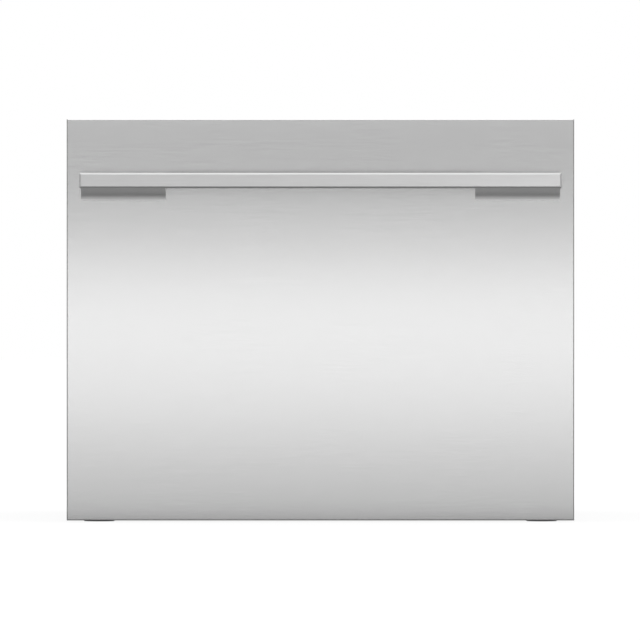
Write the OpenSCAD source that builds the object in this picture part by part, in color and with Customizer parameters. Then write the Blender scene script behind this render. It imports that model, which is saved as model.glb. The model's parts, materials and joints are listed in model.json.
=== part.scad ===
// Built-in single-drawer dishwasher, drawn closed, in millimetres.
// +X is the user's right, -Y is the front, +Z is up. The origin lies on the floor, below the
// middle of the whole appliance. Inside the modules y runs from 0 at the front panel's face
// towards the back, and in_frame() moves that to the origin.

/* [Front panel] */
// Width of the folded stainless front panel
panel_w = 599; // [590:1:606]
// Height of the front panel
panel_h = 474; // [466:1:490]
// Depth of the panel's folded edges
panel_d = 20; // [17:0.5:24]
// Thickness of the stainless sheet
panel_sheet = 1.2; // [0.8:0.1:1.5]
// Bevel round the panel's front edge
panel_bevel = 1.2; // [0.6:0.1:1.8]
// Width of the flange turned in behind the panel
panel_lip = 26; // [24:1:30]
// Height of the panel's lower edge above the floor
panel_floor_gap = 2; // [2:0.5:6]
// Thickness of the sound-deadening pad behind the face
pad_t = 6; // [3:1:10]

/* [Handle] */
// From the panel's side edge to the bar's end
bar_end_gap = 16; // [8:0.5:30]
// Height of the handle bar
bar_h = 18; // [14:1:24]
// Thickness of the handle bar, front to back
bar_d = 12; // [8:1:16]
// Bevel round the bar's front face
bar_bevel = 2; // [1:0.2:3]
// From the panel's top edge down to the bar's top edge
bar_drop = 64.5; // [40:0.5:90]
// Width of each handle post
post_w = 100; // [60:1:120]
// Finger room between the panel and the bar
post_d = 34; // [28:1:40]
// How far a post's outer end lies inside the bar's end
post_inset = 1; // [1:0.5:6]
// How far a post's coved root reaches down the panel, below the bar
post_root_drop = 14; // [8:0.5:20]

/* [Cabinet] */
// How far the panel stands out beyond the cabinet on each side
panel_side_over = 2; // [1:0.5:3.5]
// How far the panel stands above the cabinet's top
panel_top_over = 6; // [4:0.5:9]
// Depth of the steel cabinet
cab_d = 550; // [545:1:570]
// Thickness of the cabinet sheet
cab_sheet = 1; // [0.8:0.1:1.4]
// Gap between the panel's back and the cabinet's front edge
cab_gap = 3; // [2.5:0.5:5]
// Width of the flange turned in round the cabinet's front
front_flange = 7; // [5:0.5:7.5]
// Width of the flange that carries the rear panel
rear_flange = 12; // [10:1:16]
// How far the rear panel is set in from the cabinet's back edge
rear_inset = 2; // [1.8:0.2:4]
// Depth of the beads pressed into the cabinet sheet
bead_depth = 3; // [2:0.5:4]
// Thickness of the base tray
tray_t = 1.6; // [1.2:0.2:2.5]
// Height of the base tray's side walls
tray_wall_h = 20; // [15:1:30]
// Height of the base tray's front lip, which the hose link passes over
tray_lip_h = 9; // [6:1:10]

/* [Feet] */
// Height of the cabinet's underside above the floor
foot_h = 16; // [14:1:20]
// Radius of a foot's pad
foot_pad_r = 18; // [14:1:20]
// Thickness of a foot's pad
foot_pad_h = 6; // [4:1:8]
// Radius of a foot's threaded stem
foot_stem_r = 5; // [4:0.5:6]
// From the cabinet's side to a foot's centre
foot_in_x = 35; // [34:1:42]
// From the cabinet's front or back edge to a foot's centre
foot_in_y = 36; // [30:1:45]
// How far a foot screws out
foot_travel = 20; // [10:1:22]

/* [Runners] */
// How far the drawer opens
drawer_travel = 510; // [450:1:520]
// From a runner's back end to the cabinet's back edge
rail_end_gap = 13; // [11:0.5:15]
// Height of the runner's outer member
rail_h = 46; // [40:1:56]
// Width of the runner, wall to wall
rail_d = 12.5; // [12:0.1:14]
// Sheet of the outer member
rail_t = 1.5; // [1.2:0.1:1.6]
// Sheet of the middle and inner members
slim_t = 1.2; // [1:0.1:1.3]
// Height of the runner's centre above the floor
rail_z = 250; // [200:1:300]
// Diameter of the balls between outer and middle members
outer_ball_d = 3.6; // [3:0.1:4.4]
// Diameter of the balls between middle and inner members
inner_ball_d = 3; // [2.6:0.1:3.6]
// Balls in each row
balls = 9; // [6:1:14]
// Gap between the cabinet's wall and the runner
rail_standoff = 8.5; // [8:0.1:10]

/* [Tub] */
// From the tub's wall to the cabinet's side, outside to outside
tub_side_gap = 32.5; // [31:0.5:37]
// From the tub's back wall to the cabinet's back edge
tub_rear_gap = 41; // [38:1:50]
// Wall thickness of the tub
tub_wall = 3; // [2.5:0.1:4]
// Outer radius of the tub's upright corners
tub_corner_r = 45; // [30:1:60]
// Height of the tub's floor inside
tub_floor_z = 118; // [117:1:122]
// From the tub's rim up to the cabinet's top
rim_top_gap = 46; // [42:1:48]
// How far the rim stands out from the tub's walls
rim_out = 9; // [7:0.5:9]
// Height of the rim's turned-down edge
rim_h = 12; // [8:1:16]
// Depth of the drawer's front frame
frame_d = 32; // [30:1:34]
// Height of the front frame's lower edge
frame_z0 = 60; // [50:1:70]
// Gap between the front frame and the cabinet's wall
frame_side_gap = 8.5; // [8.5:0.5:12]

/* [Lid] */
// How far the lid sinks onto the tub
lid_travel = 12; // [10:0.5:12.5]
// Gap left between the sunk seal and the rim
seal_gap = 0.3; // [0.2:0.05:0.5]
// Height of the lid's seal
seal_h = 3.7; // [3:0.1:4.5]
// Width of the lid's seal
seal_w = 9; // [7:0.5:9.5]
// Thickness of the lid's plate
lid_t = 3; // [2.5:0.1:4]
// Height of the lid with its ribs
lid_h = 14; // [12:0.5:15]
// Module of the lift's rack and pinion
gear_m = 1; // [0.8:0.1:1.1]
// Teeth of the lift pinion
pinion_teeth = 14; // [13:1:15]

/* [Pump and spray arm] */
// Radius of the sump under the tub
sump_r = 112; // [100:1:116]
// Depth of the sump below the tub's floor
sump_depth = 34; // [32:1:36]
// Radius of the well that holds the pump's rotor
well_r = 40; // [38:1:42]
// Depth of that well below the sump's floor
well_depth = 32; // [30:1:33]
// Gap between the spray arm's tips and the tub's wall
spray_gap = 8.5; // [7:0.5:30]
// Width of the spray arm near its hub
spray_w = 46; // [36:1:54]
// Thickness of the spray arm
spray_t = 9; // [8:0.5:10]

/* [Basket] */
// Radius of a coated basket wire
wire_r = 2; // [1.6:0.1:2.2]
// Distance between the basket's cross wires
wire_pitch = 32; // [30:1:34]
// Gap between the tub's walls and the basket
basket_gap = 11; // [10:1:14]
// Height of the basket's floor above the tub's floor
basket_lift = 38; // [38:1:42]
// From the basket's top wire up to the dispenser's frame
basket_top_gap = 10; // [6:1:32]
// Length of a plate tine
tine_len = 72; // [55:1:80]
// Half the distance between the two fixed tine rows
tine_row_x = 45; // [36:1:50]
// Place of the folding tine rows, counted in the basket's long wires from its middle
fold_row_at = 2.68; // [2.62:0.01:2.72]
// Width of each cup rack
cup_rack_w = 88; // [70:1:90]

/* [Controls] */
// Height of the control strip
fascia_h = 22; // [20:1:24]
// Length of a button
button_w = 22; // [16:1:26]
// Width of a button, front to back
button_d = 10; // [8:1:12]
// Distance between buttons
button_pitch = 34; // [30:1:44]
// How far a button travels
button_travel = 1.5; // [1:0.1:2]

/* [Hose link] */
// Thickness of each link arm
link_t = 10; // [9:0.5:10]
// Width of each link arm
link_w = 26; // [22:1:28]
// From the cabinet's side to the pivots at the link's ends
link_side_gap = 72.5; // [69.5:0.5:75.5]
// Distance between the link's two end pivots when it is folded
link_d0 = 15; // [12:1:20]

/* [Hidden] */
$fn = 48;

touch = 0.3; // gap between close faces that don't have to touch
slip = 0.1; // running clearance of a sliding fit
weld = 0.05; // gap that keeps welded wires separate solids
cut = 1; // how far a cutting solid runs past the face that it opens

// Places along y, from the panel's face
cab_y0 = panel_d + cab_gap;
cab_y1 = cab_y0 + cab_d;
frame_y0 = panel_d;
frame_y1 = frame_y0 + frame_d;
tub_y0 = frame_y1 + rim_out;
tub_y1 = cab_y1 - tub_rear_gap;
tub_d = tub_y1 - tub_y0;
tub_cy = (tub_y0 + tub_y1) / 2;
reach = post_d + bar_d;
mid_y = (cab_y1 - reach) / 2;
rear_y = cab_y1 - rear_inset;

// Heights
panel_z0 = panel_floor_gap;
panel_z1 = panel_floor_gap + panel_h;
cab_z0 = foot_h;
cab_z1 = panel_z1 - panel_top_over;
cab_h = cab_z1 - cab_z0;
tub_rim_z = cab_z1 - rim_top_gap;
bar_z1 = panel_z1 - bar_drop;
bar_z0 = bar_z1 - bar_h;
tray_z1 = foot_h + tray_t;
lid_z0 = tub_rim_z + seal_gap + lid_travel + seal_h;
lid_z1 = lid_z0 + lid_h;
sump_z0 = tub_floor_z - sump_depth;
well_z0 = sump_z0 - well_depth;
fascia_z0 = tub_rim_z + rim_h;
fascia_z1 = fascia_z0 + fascia_h;

// Widths
cab_w = panel_w - 2 * panel_side_over;
bar_len = panel_w - 2 * bar_end_gap;
tub_w = cab_w - 2 * tub_side_gap;
spray_r = min(tub_w, tub_d) / 2 - tub_wall - spray_gap;
cab_x = cab_w / 2;
link_x = cab_x - link_side_gap;
link_len = 2 * link_x;
wall_x = cab_x - cab_sheet;
frame_x = wall_x - frame_side_gap;
rail_x = wall_x - rail_standoff;
inner_rail_x = rail_x - rail_d;
rim_x = tub_w / 2 + rim_out;

module in_frame() translate([0, -mid_y, 0]) children();

// Both the right-hand piece and its mirror image
module both_sides() {
  children();
  mirror([1, 0, 0]) children();
}

// A box from its lowest corner to its highest
module block(low, high) translate(low) cube(high - low);

module rounded(w, d, r) {
  square([w - 2 * r, d], center = true);
  square([w, d - 2 * r], center = true);
  for (x = [-1, 1], y = [-1, 1]) translate([x * (w / 2 - r), y * (d / 2 - r)]) circle(r);
}

// A plate with rounded upright corners, centred on the axis and standing on z = 0
module slab(w, d, h, r) linear_extrude(h) rounded(w, d, r);

module ring_slab(w, d, h, r, wide) linear_extrude(h) difference() {
  rounded(w, d, r);
  rounded(w - 2 * wide, d - 2 * wide, r - wide);
}

// A strip with round ends, long in the drawing's second direction
module strip(w, len) {
  square([w, len - w], center = true);
  for (s = [-1, 1]) translate([0, s * (len - w) / 2]) circle(w / 2);
}

// Extrusions of a drawing whose axes are x and z, or y and z
module along_y(y0, y1) translate([0, y1, 0]) rotate([90, 0, 0]) linear_extrude(y1 - y0) children();
module along_x(x0, x1) translate([x0, 0, 0]) rotate([90, 0, 90]) linear_extrude(x1 - x0) children();

module rod_x(x0, x1, y, z, r) translate([x0, y, z]) rotate([0, 90, 0]) cylinder(r = r, h = x1 - x0);
module rod_y(y0, y1, x, z, r) translate([x, y0, z]) rotate([-90, 0, 0]) cylinder(r = r, h = y1 - y0);
module rod_z(z0, z1, x, y, r) translate([x, y, z0]) cylinder(r = r, h = z1 - z0);

module tube_z(z0, z1, outer, inner) difference() {
  translate([0, 0, z0]) cylinder(r = outer, h = z1 - z0);
  translate([0, 0, z0 - cut]) cylinder(r = inner, h = z1 - z0 + 2 * cut);
}

// A bar with its four front edges bevelled: centred in x, its face at y = 0, standing on z = 0
module bevelled(w, d, h, bevel) intersection() {
  along_x(-w / 2, w / 2)
    polygon([[bevel, 0], [d, 0], [d, h], [bevel, h], [0, h - bevel], [0, bevel]]);
  linear_extrude(h) polygon([
    [-w / 2, d], [w / 2, d], [w / 2, bevel], [w / 2 - bevel, 0], [-w / 2 + bevel, 0], [-w / 2, bevel]
  ]);
}

// ---- Front panel and handle ----

post_x = bar_len / 2 - post_inset - post_w / 2;
post_z0 = bar_z0 + bar_bevel / 2;
post_z1 = bar_z1 - bar_bevel / 2;
cove_step = 7.5;
handle_screw_r = 2.5;
handle_screw_in = 20;
handle_screw_dx = post_w / 2 - handle_screw_in;
handle_screw_z = (bar_z0 + bar_z1) / 2;

// Where the four handle screws go through the panel
module at_handle_screws() for (side = [-1, 1], dx = [-1, 1])
  translate([side * post_x + dx * handle_screw_dx, 0, handle_screw_z]) rotate([-90, 0, 0]) children();

module front_panel() color("silver") in_frame() difference() {
  translate([0, 0, panel_z0]) bevelled(panel_w, panel_d, panel_h, panel_bevel);
  block(
    [-panel_w / 2 + panel_sheet, panel_sheet, panel_z0 + panel_sheet],
    [panel_w / 2 - panel_sheet, panel_d - panel_sheet, panel_z1 - panel_sheet]
  );
  block(
    [-panel_w / 2 + panel_lip, panel_sheet, panel_z0 + panel_lip],
    [panel_w / 2 - panel_lip, panel_d + cut, panel_z1 - panel_lip]
  );
  at_handle_screws() translate([0, 0, -cut]) cylinder(r = handle_screw_r + slip, h = panel_sheet + 2 * cut);
  at_frame_screws() translate([0, 0, -panel_d]) cylinder(r = frame_screw_r, h = panel_d);
}

module sound_pad() color("dimgray") in_frame() difference() {
  block(
    [-panel_w / 2 + panel_lip + touch, panel_sheet, panel_z0 + panel_lip + touch],
    [panel_w / 2 - panel_lip - touch, panel_sheet + pad_t, bar_z0 - touch]
  );
  for (x = [-1, 1]) block(
    [x * panel_w / 4 - 4, panel_sheet + pad_t - 2, panel_z0],
    [x * panel_w / 4 + 4, panel_sheet + pad_t + cut, bar_z0]
  );
}

module handle_bar() color("lightgray") in_frame()
  translate([0, -reach, bar_z0]) bevelled(bar_len, bar_d, bar_h, bar_bevel);

// A post from the side, level on top: its underside starts level behind the bar and curves down
// until it meets the panel's face
module post_outline() {
  drop = post_root_drop + post_z0 - bar_z0;
  polygon(concat(
    [[0, post_z1], [-post_d, post_z1]],
    [for (a = [0:cove_step:90]) [post_d * (sin(a) - 1), post_z0 - drop * (1 - cos(a))]]
  ));
}

module handle_posts() color("silver") in_frame() difference() {
  for (side = [-1, 1]) along_x(side * post_x - post_w / 2, side * post_x + post_w / 2) post_outline();
  at_handle_screws() translate([0, 0, -post_d / 2]) cylinder(r = handle_screw_r, h = post_d);
}

// Pan-headed screw pointing along -z, with its head standing on z = 0
module screw(r, len) {
  translate([0, 0, -len]) cylinder(r = r, h = len);
  difference() {
    cylinder(r = 1.9 * r, h = 1.1 * r);
    for (a = [0, 90]) rotate(a) translate([-1.2 * r, -0.25 * r, 0.5 * r]) cube([2.4 * r, 0.5 * r, r]);
  }
}

frame_screw_r = 2;
frame_wall = 2.5;
frame_rim = 14;
frame_screw_x = frame_x - frame_rim / 2;

// Where screws go through the front frame's rim into the panel's flange
module at_frame_screws() for (side = [-1, 1], f = [0.08, 0.5, 0.92])
  translate([side * frame_screw_x, frame_y0 + frame_wall, frame_z0 + f * (fascia_z0 - frame_z0)])
    rotate([-90, 0, 0]) children();

// ---- Drawer front: frame, control strip and buttons ----

fan_in = 98;
fan_x = frame_x - fan_in;
fan_drop = 94;
fan_z = tub_rim_z - fan_drop;
fan_r = 38;
dispenser_x = -80;
dispenser_w = 150;
dispenser_h = 92;
dispenser_drop = 72;
dispenser_z = tub_rim_z - dispenser_drop;
dispenser_frame = 6;

module front_frame() color("gainsboro") in_frame() {
  difference() {
    block([-frame_x, frame_y0, frame_z0], [frame_x, frame_y1, fascia_z0]);
    block(
      [-frame_x + frame_wall, frame_y0 + frame_wall, frame_z0 + frame_wall],
      [frame_x - frame_wall, frame_y1 - frame_wall, fascia_z0 - frame_wall]
    );
    block(
      [-frame_x + frame_rim, frame_y0 - cut, frame_z0 + frame_wall],
      [frame_x - frame_rim, frame_y0 + 2 * frame_wall, fascia_z0 - frame_wall]
    );
    at_frame_screws() translate([0, 0, -2 * frame_wall])
      cylinder(r = frame_screw_r + slip, h = 3 * frame_wall);
    dispenser_hole();
    rod_y(frame_y0, frame_y1 + cut, fan_x, fan_z, fan_r / 3);
    for (x = [-5:5]) block(
      [x * 40 - 12, frame_y0 + frame_d / 3, frame_z0 - cut],
      [x * 40 + 12, frame_y0 + 2 * frame_d / 3, frame_z0 + frame_wall + cut]
    );
  }
  for (x = [-frame_x / 2, 0, frame_x / 2 - frame_wall]) frame_rib(x);
  difference() {
    block(
      [-frame_x + frame_wall, frame_y0 + pad_t, frame_z0 + 0.35 * panel_h],
      [frame_x - frame_wall, frame_y1 - frame_wall, frame_z0 + 0.35 * panel_h + frame_wall]
    );
    for (x = [-frame_x / 2, 0, frame_x / 2 - frame_wall]) translate([x - slip, frame_y0, frame_z0])
      cube([frame_wall + 2 * slip, frame_d, panel_h]);
  }
}

// An upright rib inside the front frame, below the dispenser's and the fan's level
module frame_rib(x) block(
  [x, frame_y0 + pad_t, frame_z0 + frame_wall],
  [x + frame_wall, frame_y1 - frame_wall, dispenser_z - dispenser_h / 2 - 6]
);

module dispenser_hole() block(
  [dispenser_x - dispenser_w / 2, frame_y0 + pad_t, dispenser_z - dispenser_h / 2],
  [dispenser_x + dispenser_w / 2, tub_y0 + tub_wall + cut, dispenser_z + dispenser_h / 2]
);

fascia_wall = 2.5;
button_x0 = 70;
button_y = (frame_y0 + frame_y1) / 2;
button_proud = button_travel - 0.5; // a pressed button ends just below the strip's face
button_lip = 1.5;
window_w = 90;
window_d = 14;
window_sink = 1;

module at_button(n) translate([button_x0 + n * button_pitch, button_y, fascia_z1]) children();

module control_fascia() color("dimgray") in_frame() difference() {
  block([-frame_x, frame_y0 + touch, fascia_z0], [frame_x, frame_y1 - touch, fascia_z1]);
  block(
    [-frame_x + fascia_wall, frame_y0 + fascia_wall, fascia_z0 - cut],
    [frame_x - fascia_wall, frame_y1 - fascia_wall, fascia_z1 - fascia_wall]
  );
  for (n = [0:2]) at_button(n) block(
    [-button_w / 2 - slip, -button_d / 2 - slip, -fascia_wall - cut],
    [button_w / 2 + slip, button_d / 2 + slip, cut]
  );
  translate([-window_w / 2, button_y - window_d / 2, fascia_z1 - window_sink])
    cube([window_w, window_d, window_sink + cut]);
}

// A button cap with a lip under the strip that keeps it in
module button(n) color("whitesmoke") in_frame() at_button(n) {
  translate([0, 0, -fascia_wall - slip]) slab(button_w, button_d, fascia_wall + slip + button_proud, 2);
  translate([0, 0, -fascia_wall - slip - button_lip])
    slab(button_w + 2 * button_lip, button_d + 2 * button_lip, button_lip, 2);
}

module power_button() button(0);
module program_button() button(1);
module start_button() button(2);

// ---- Tub ----

basket_z = tub_floor_z + basket_lift;
basket_w = tub_w - 2 * tub_wall - 2 * basket_gap;
basket_d = tub_d - 2 * tub_wall - 2 * basket_gap;
layer = 2 * wire_r + weld;
long_n = 10;
long_side = 12;
long_pitch = (basket_w - 2 * long_side) / long_n;
fold_row_x = fold_row_at * long_pitch;
support_r = 9;
support_x = long_n / 2 * long_pitch;
support_y = tub_d / 2 - tub_corner_r - 4;
rail_front_gap = 6;
rail_y0 = frame_y1 + rail_front_gap;
rail_y1 = cab_y1 - rail_end_gap;
boss_h = rail_h / 2;
boss_t = inner_rail_x - tub_w / 2;
boss_wall = 11;
boss_cells = 7;
boss_end = 51.5;
boss_y0 = tub_y0 + boss_end;
boss_pitch = (tub_d - 2 * boss_end - boss_wall) / boss_cells;
rail_screw_r = 2;
rail_screw_len = 6;
link_pin_r = 4;
link_gap = 4;
link_z0 = tray_z1 + link_gap;
link_z1 = link_z0 + link_t + touch;
link_a_y = tub_y1 - 2;
link_b_y = link_a_y - link_d0;
link_web_h = 40;

module tub() color("lightgray") in_frame() {
  difference() {
    union() {
      translate([0, tub_cy, tub_floor_z - tub_wall])
        slab(tub_w, tub_d, tub_rim_z - tub_floor_z + tub_wall, tub_corner_r);
      translate([0, tub_cy, tub_rim_z - rim_h])
        slab(tub_w + 2 * rim_out, tub_d + 2 * rim_out, rim_h, tub_corner_r + rim_out);
      both_sides() tub_rail_boss();
      for (x = [-2:2]) block(
        [x * 95 - 2, frame_y1, tub_floor_z],
        [x * 95 + 2, tub_y0 + cut, tub_rim_z - rim_h]
      );
      for (x = [-2:2]) block(
        [x * 95 - 2, tub_y1 - cut, tub_floor_z],
        [x * 95 + 2, tub_y1 + rim_out / 2, tub_rim_z - rim_h]
      );
      link_post();
    }
    translate([0, tub_cy, tub_floor_z])
      slab(tub_w - 2 * tub_wall, tub_d - 2 * tub_wall, tub_rim_z, tub_corner_r - tub_wall);
    translate([0, tub_cy, tub_rim_z - rim_h - cut]) ring_slab(
      tub_w + 2 * rim_out - 2 * tub_wall, tub_d + 2 * rim_out - 2 * tub_wall,
      rim_h - tub_wall + cut, tub_corner_r + rim_out - tub_wall, rim_out - tub_wall
    );
    rod_z(tub_floor_z - tub_wall - cut, tub_floor_z + cut, 0, tub_cy, sump_r);
    dispenser_hole();
  }
  for (x = [-1, 1], y = [-1, 1]) difference() {
    rod_z(tub_floor_z - cut, basket_z - touch, x * support_x, tub_cy + y * support_y, support_r);
    rod_z(basket_z - 12, basket_z, x * support_x, tub_cy + y * support_y, support_r - tub_wall);
  }
}

// The ribbed boss along the tub's side that the inner rail is screwed to
module tub_rail_boss() difference() {
  block(
    [tub_w / 2 - cut, boss_y0, rail_z - boss_h / 2],
    [inner_rail_x, boss_y0 + boss_cells * boss_pitch + boss_wall, rail_z + boss_h / 2]
  );
  for (n = [0:boss_cells - 1])
    translate([tub_w / 2, boss_y0 + boss_wall + n * boss_pitch, rail_z - boss_h / 2 + tub_wall])
      cube([boss_t + cut, boss_pitch - boss_wall, boss_h - 2 * tub_wall]);
  for (n = rail_screw_walls)
    rod_x(inner_rail_x - rail_screw_len, inner_rail_x + cut, rail_screw_y(n), rail_z, rail_screw_r);
}

// The runner's screws go into the walls between the boss's cells
rail_screw_walls = [0, 2, boss_cells - 2, boss_cells];
function rail_screw_y(n) = boss_y0 + boss_wall / 2 + n * boss_pitch;

// The post under the tub's back corner whose pin runs in the slot of the front link arm
module link_post() {
  rod_z(link_z1 + link_t + 2, tub_floor_z, link_x, link_b_y, link_pin_r + 5);
  rod_z(link_z1 - touch / 2, tub_floor_z, link_x, link_b_y, link_pin_r);
  for (a = [90, 180, 270]) translate([link_x, link_b_y, tub_floor_z - tub_wall - link_web_h]) rotate(a)
    translate([0, -1.5, 0]) cube([26, 3, link_web_h]);
}

// ---- Sump, pump, filters and spray arm ----

stator_gap = 0.05;
stator_r = well_r + 3 + stator_gap + 17;
rotor_r = well_r - 3;
outlet_r = 12;
outlet_bore = 9.5;
spray_z0 = tub_floor_z + 15;
cover_r = well_r + 3;
filter_gap = 3;
filter_edge = 12;
filter_r = (sump_r - filter_edge - cover_r - filter_gap) / 2;
filter_y = -cover_r - filter_gap - filter_r;
hole_rows = 4;
hole_r0 = cover_r + 11;
hole_r1 = sump_r - 16;
hole_pitch = (hole_r1 - hole_r0) / (hole_rows - 1);
filter_knob_h = 11;
sump_flange = 14;
sump_wall = 3;
spout_len = 34;

module at_pump() in_frame() translate([0, tub_cy, 0]) children();

module sump() color("gray") at_pump() {
  tube_z(sump_z0, tub_floor_z - tub_wall, sump_r, sump_r - sump_wall);
  tube_z(tub_floor_z - 2 * tub_wall, tub_floor_z - tub_wall, sump_r + sump_flange, sump_r - sump_wall);
  tube_z(sump_z0 - sump_wall, sump_z0, sump_r, well_r);
  tube_z(well_z0, sump_z0 - sump_wall, well_r + sump_wall, well_r);
  rod_z(well_z0 - sump_wall, well_z0, 0, 0, well_r + sump_wall);
  translate([0, 0, well_z0]) cylinder(r = 8, h = 1.5);
  translate([sump_r - 8, 0, sump_z0 + 14]) rotate([0, 90, 0]) difference() {
    cylinder(r = 11, h = spout_len);
    translate([0, 0, 10]) cylinder(r = 8.5, h = spout_len);
  }
}

module motor_stator() color("goldenrod") at_pump() {
  difference() {
    tube_z(well_z0 + 3, sump_z0 - sump_wall - 3, stator_r, well_r + sump_wall + stator_gap);
    for (a = [0:30:330]) rotate(a) translate([stator_r - 7, -3, well_z0]) cube([10, 6, well_depth]);
  }
}

blades = 6;

module wash_rotor() color("slategray") at_pump() {
  rod_z(well_z0 + 1.5 + slip, sump_z0 + 18, 0, 0, 4);
  tube_z(well_z0 + 4, sump_z0 - 4, rotor_r, rotor_r - 8);
  rod_z(sump_z0 - 7, sump_z0 - 4, 0, 0, rotor_r);
  rod_z(sump_z0 + 4, sump_z0 + 6, 0, 0, 31);
  for (n = [0:blades - 1]) rotate(n * 360 / blades) translate([0, 0, sump_z0 + 6]) impeller_blade();
}

// One backward-curved blade of the pump's impeller
module impeller_blade() linear_extrude(12) intersection() {
  difference() {
    translate([17, 14]) circle(17);
    translate([17, 14]) circle(14.8);
  }
  translate([0, -5]) square([31, 17]);
}

module heater_plate() color("lightsteelblue") at_pump() {
  tube_z(sump_z0, sump_z0 + 2, sump_r - sump_wall - 4, cover_r + 1);
  rotate_extrude() translate([sump_r - 26, sump_z0 + 3.5]) circle(2.4);
}

module filter_plate() color("silver") at_pump() {
  difference() {
    union() {
      rod_z(tub_floor_z - 4, tub_floor_z - 2, 0, 0, sump_r - sump_wall - touch);
      tube_z(tub_floor_z - 4, tub_floor_z, sump_r - sump_wall - touch, sump_r - sump_wall - 5);
      rod_z(tub_floor_z - 10, tub_floor_z + 3, 0, 0, outlet_r + 8);
      rod_z(tub_floor_z - 10, spray_z0 + spray_t + 3, 0, 0, outlet_r);
      translate([0, filter_y, 0]) rod_z(tub_floor_z - 6, tub_floor_z, 0, 0, filter_r + 6);
      tube_z(sump_z0, tub_floor_z - 4, cover_r, cover_r - 2);
    }
    rod_z(sump_z0, spray_z0 + 30, 0, 0, outlet_bore);
    translate([0, filter_y, 0]) rod_z(sump_z0, tub_floor_z - 2, 0, 0, filter_r + slip);
    translate([0, filter_y, 0]) rod_z(tub_floor_z - 2, tub_floor_z + cut, 0, 0, filter_r + 3 + slip);
    for (row = [0:hole_rows - 1], n = [0:21 + row * 6])
      filter_hole(hole_r0 + row * hole_pitch, n * 360 / (22 + row * 6));
    for (a = [0:60:300]) rotate(a) translate([cover_r - 5, -8, sump_z0 + 6]) cube([10, 16, 12]);
  }
}

// One hole of the filter plate, left out where the drain filter's seat is
module filter_hole(r, a) if (norm([r * cos(a), r * sin(a) - filter_y]) > filter_r + 10)
  rotate(a) translate([r, 0, sump_z0]) cylinder(r = 2.2, h = sump_depth + cut);

module drain_filter() color("lightslategray") at_pump() translate([0, filter_y, 0]) {
  difference() {
    union() {
      rod_z(sump_z0 + 7, tub_floor_z - 2, 0, 0, filter_r - slip);
      rod_z(tub_floor_z - 2 + slip, tub_floor_z + 1, 0, 0, filter_r + 3);
    }
    rod_z(sump_z0 + 9, tub_floor_z + 2, 0, 0, filter_r - 2);
    for (a = [0:22.5:337.5]) rotate(a) translate([filter_r - 6, -1.5, sump_z0 + 10]) cube([9, 3, 12]);
  }
  block([-filter_r + 1, -2.5, tub_floor_z - 8], [filter_r - 1, 2.5, tub_floor_z + filter_knob_h]);
}

spray_tip_r = 15;
spray_sweep = 34;
spray_steps = 10;

function blade_mid(t) = [t * (spray_r - spray_tip_r), spray_sweep * t * (1 - t) * 1.6];
function blade_half(t) = spray_w / 2 + (spray_tip_r - spray_w / 2) * t;

// Outline of one blade of the spray arm, from the hub to the round tip
module blade_outline() {
  polygon(concat(
    [for (i = [0:spray_steps]) blade_mid(i / spray_steps) - [0, blade_half(i / spray_steps)]],
    [for (i = [spray_steps:-1:0]) blade_mid(i / spray_steps) + [0, blade_half(i / spray_steps)]]
  ));
  translate(blade_mid(1)) circle(spray_tip_r);
}

module spray_arm() color("gray") at_pump() difference() {
  union() {
    translate([0, 0, spray_z0]) linear_extrude(spray_t) for (a = [0, 180]) rotate(a) blade_outline();
    rod_z(spray_z0 - 3, spray_z0 + spray_t + 2, 0, 0, outlet_r + 12);
    rod_z(spray_z0 + spray_t + 2, spray_z0 + spray_t + 6, 0, 0, outlet_r + 4);
    for (a = [0, 180]) rotate(a) translate([0, 0, spray_z0 + spray_t]) linear_extrude(2) intersection() {
      blade_outline();
      translate([outlet_r, -2]) square([0.9 * spray_r, 14]);
    }
  }
  rod_z(spray_z0 - 4, spray_z0 + spray_t + 3 + slip, 0, 0, outlet_r + slip);
  for (a = [0, 180], n = [2:8]) rotate(a) translate(concat(blade_mid(n / 9), spray_z0 + spray_t - 4))
    rotate([0, 18, 0]) cylinder(r = 2, h = 20);
}

// ---- Basket, tines, racks and cutlery basket ----

floor_z = basket_z + wire_r;
cross_z = floor_z + layer;
cross_n = floor((basket_d - 2 * wire_r - 8) / wire_pitch);
cross_y0 = -cross_n * wire_pitch / 2;
corner_r = 3;
corner_cut = 24;
side_x = basket_w / 2 - 3 * wire_r;
side_y = basket_d / 2 - 3 * wire_r;
ring_out = layer;
ring_x = side_x + ring_out;
ring_y = side_y + ring_out;
top_z = dispenser_z - dispenser_h / 2 - dispenser_frame - basket_top_gap;
basket_h = top_z - floor_z;

module at_basket() in_frame() translate([0, tub_cy, 0]) children();

// Coated wires laid and welded across each other; neighbours lie 0.05 mm apart
module basket() color("slategray") at_basket() {
  for (n = [0:long_n]) {
    rod_y(-side_y - wire_r, side_y + wire_r, (n - long_n / 2) * long_pitch, floor_z, wire_r);
    for (s = [-1, 1]) rod_z(floor_z + layer / 2, top_z, (n - long_n / 2) * long_pitch, s * side_y, wire_r);
  }
  for (n = [0:cross_n]) {
    rod_x(-side_x - wire_r, side_x + wire_r, cross_y0 + n * wire_pitch, cross_z, wire_r);
    if (n % 2 == 0) for (s = [-1, 1])
      rod_z(cross_z + layer / 2, top_z, s * side_x, cross_y0 + n * wire_pitch, wire_r);
  }
  for (z = [top_z - 0.75 * basket_h, top_z - 0.4 * basket_h, top_z - wire_r]) basket_ring(z);
  for (x = [-1, 1], y = [-1, 1]) {
    rod_z(floor_z, top_z + 1, x * ring_x, y * (ring_y - corner_cut), corner_r);
    rod_z(floor_z, top_z + 1, x * (ring_x - corner_cut), y * ring_y, corner_r);
  }
}

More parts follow.
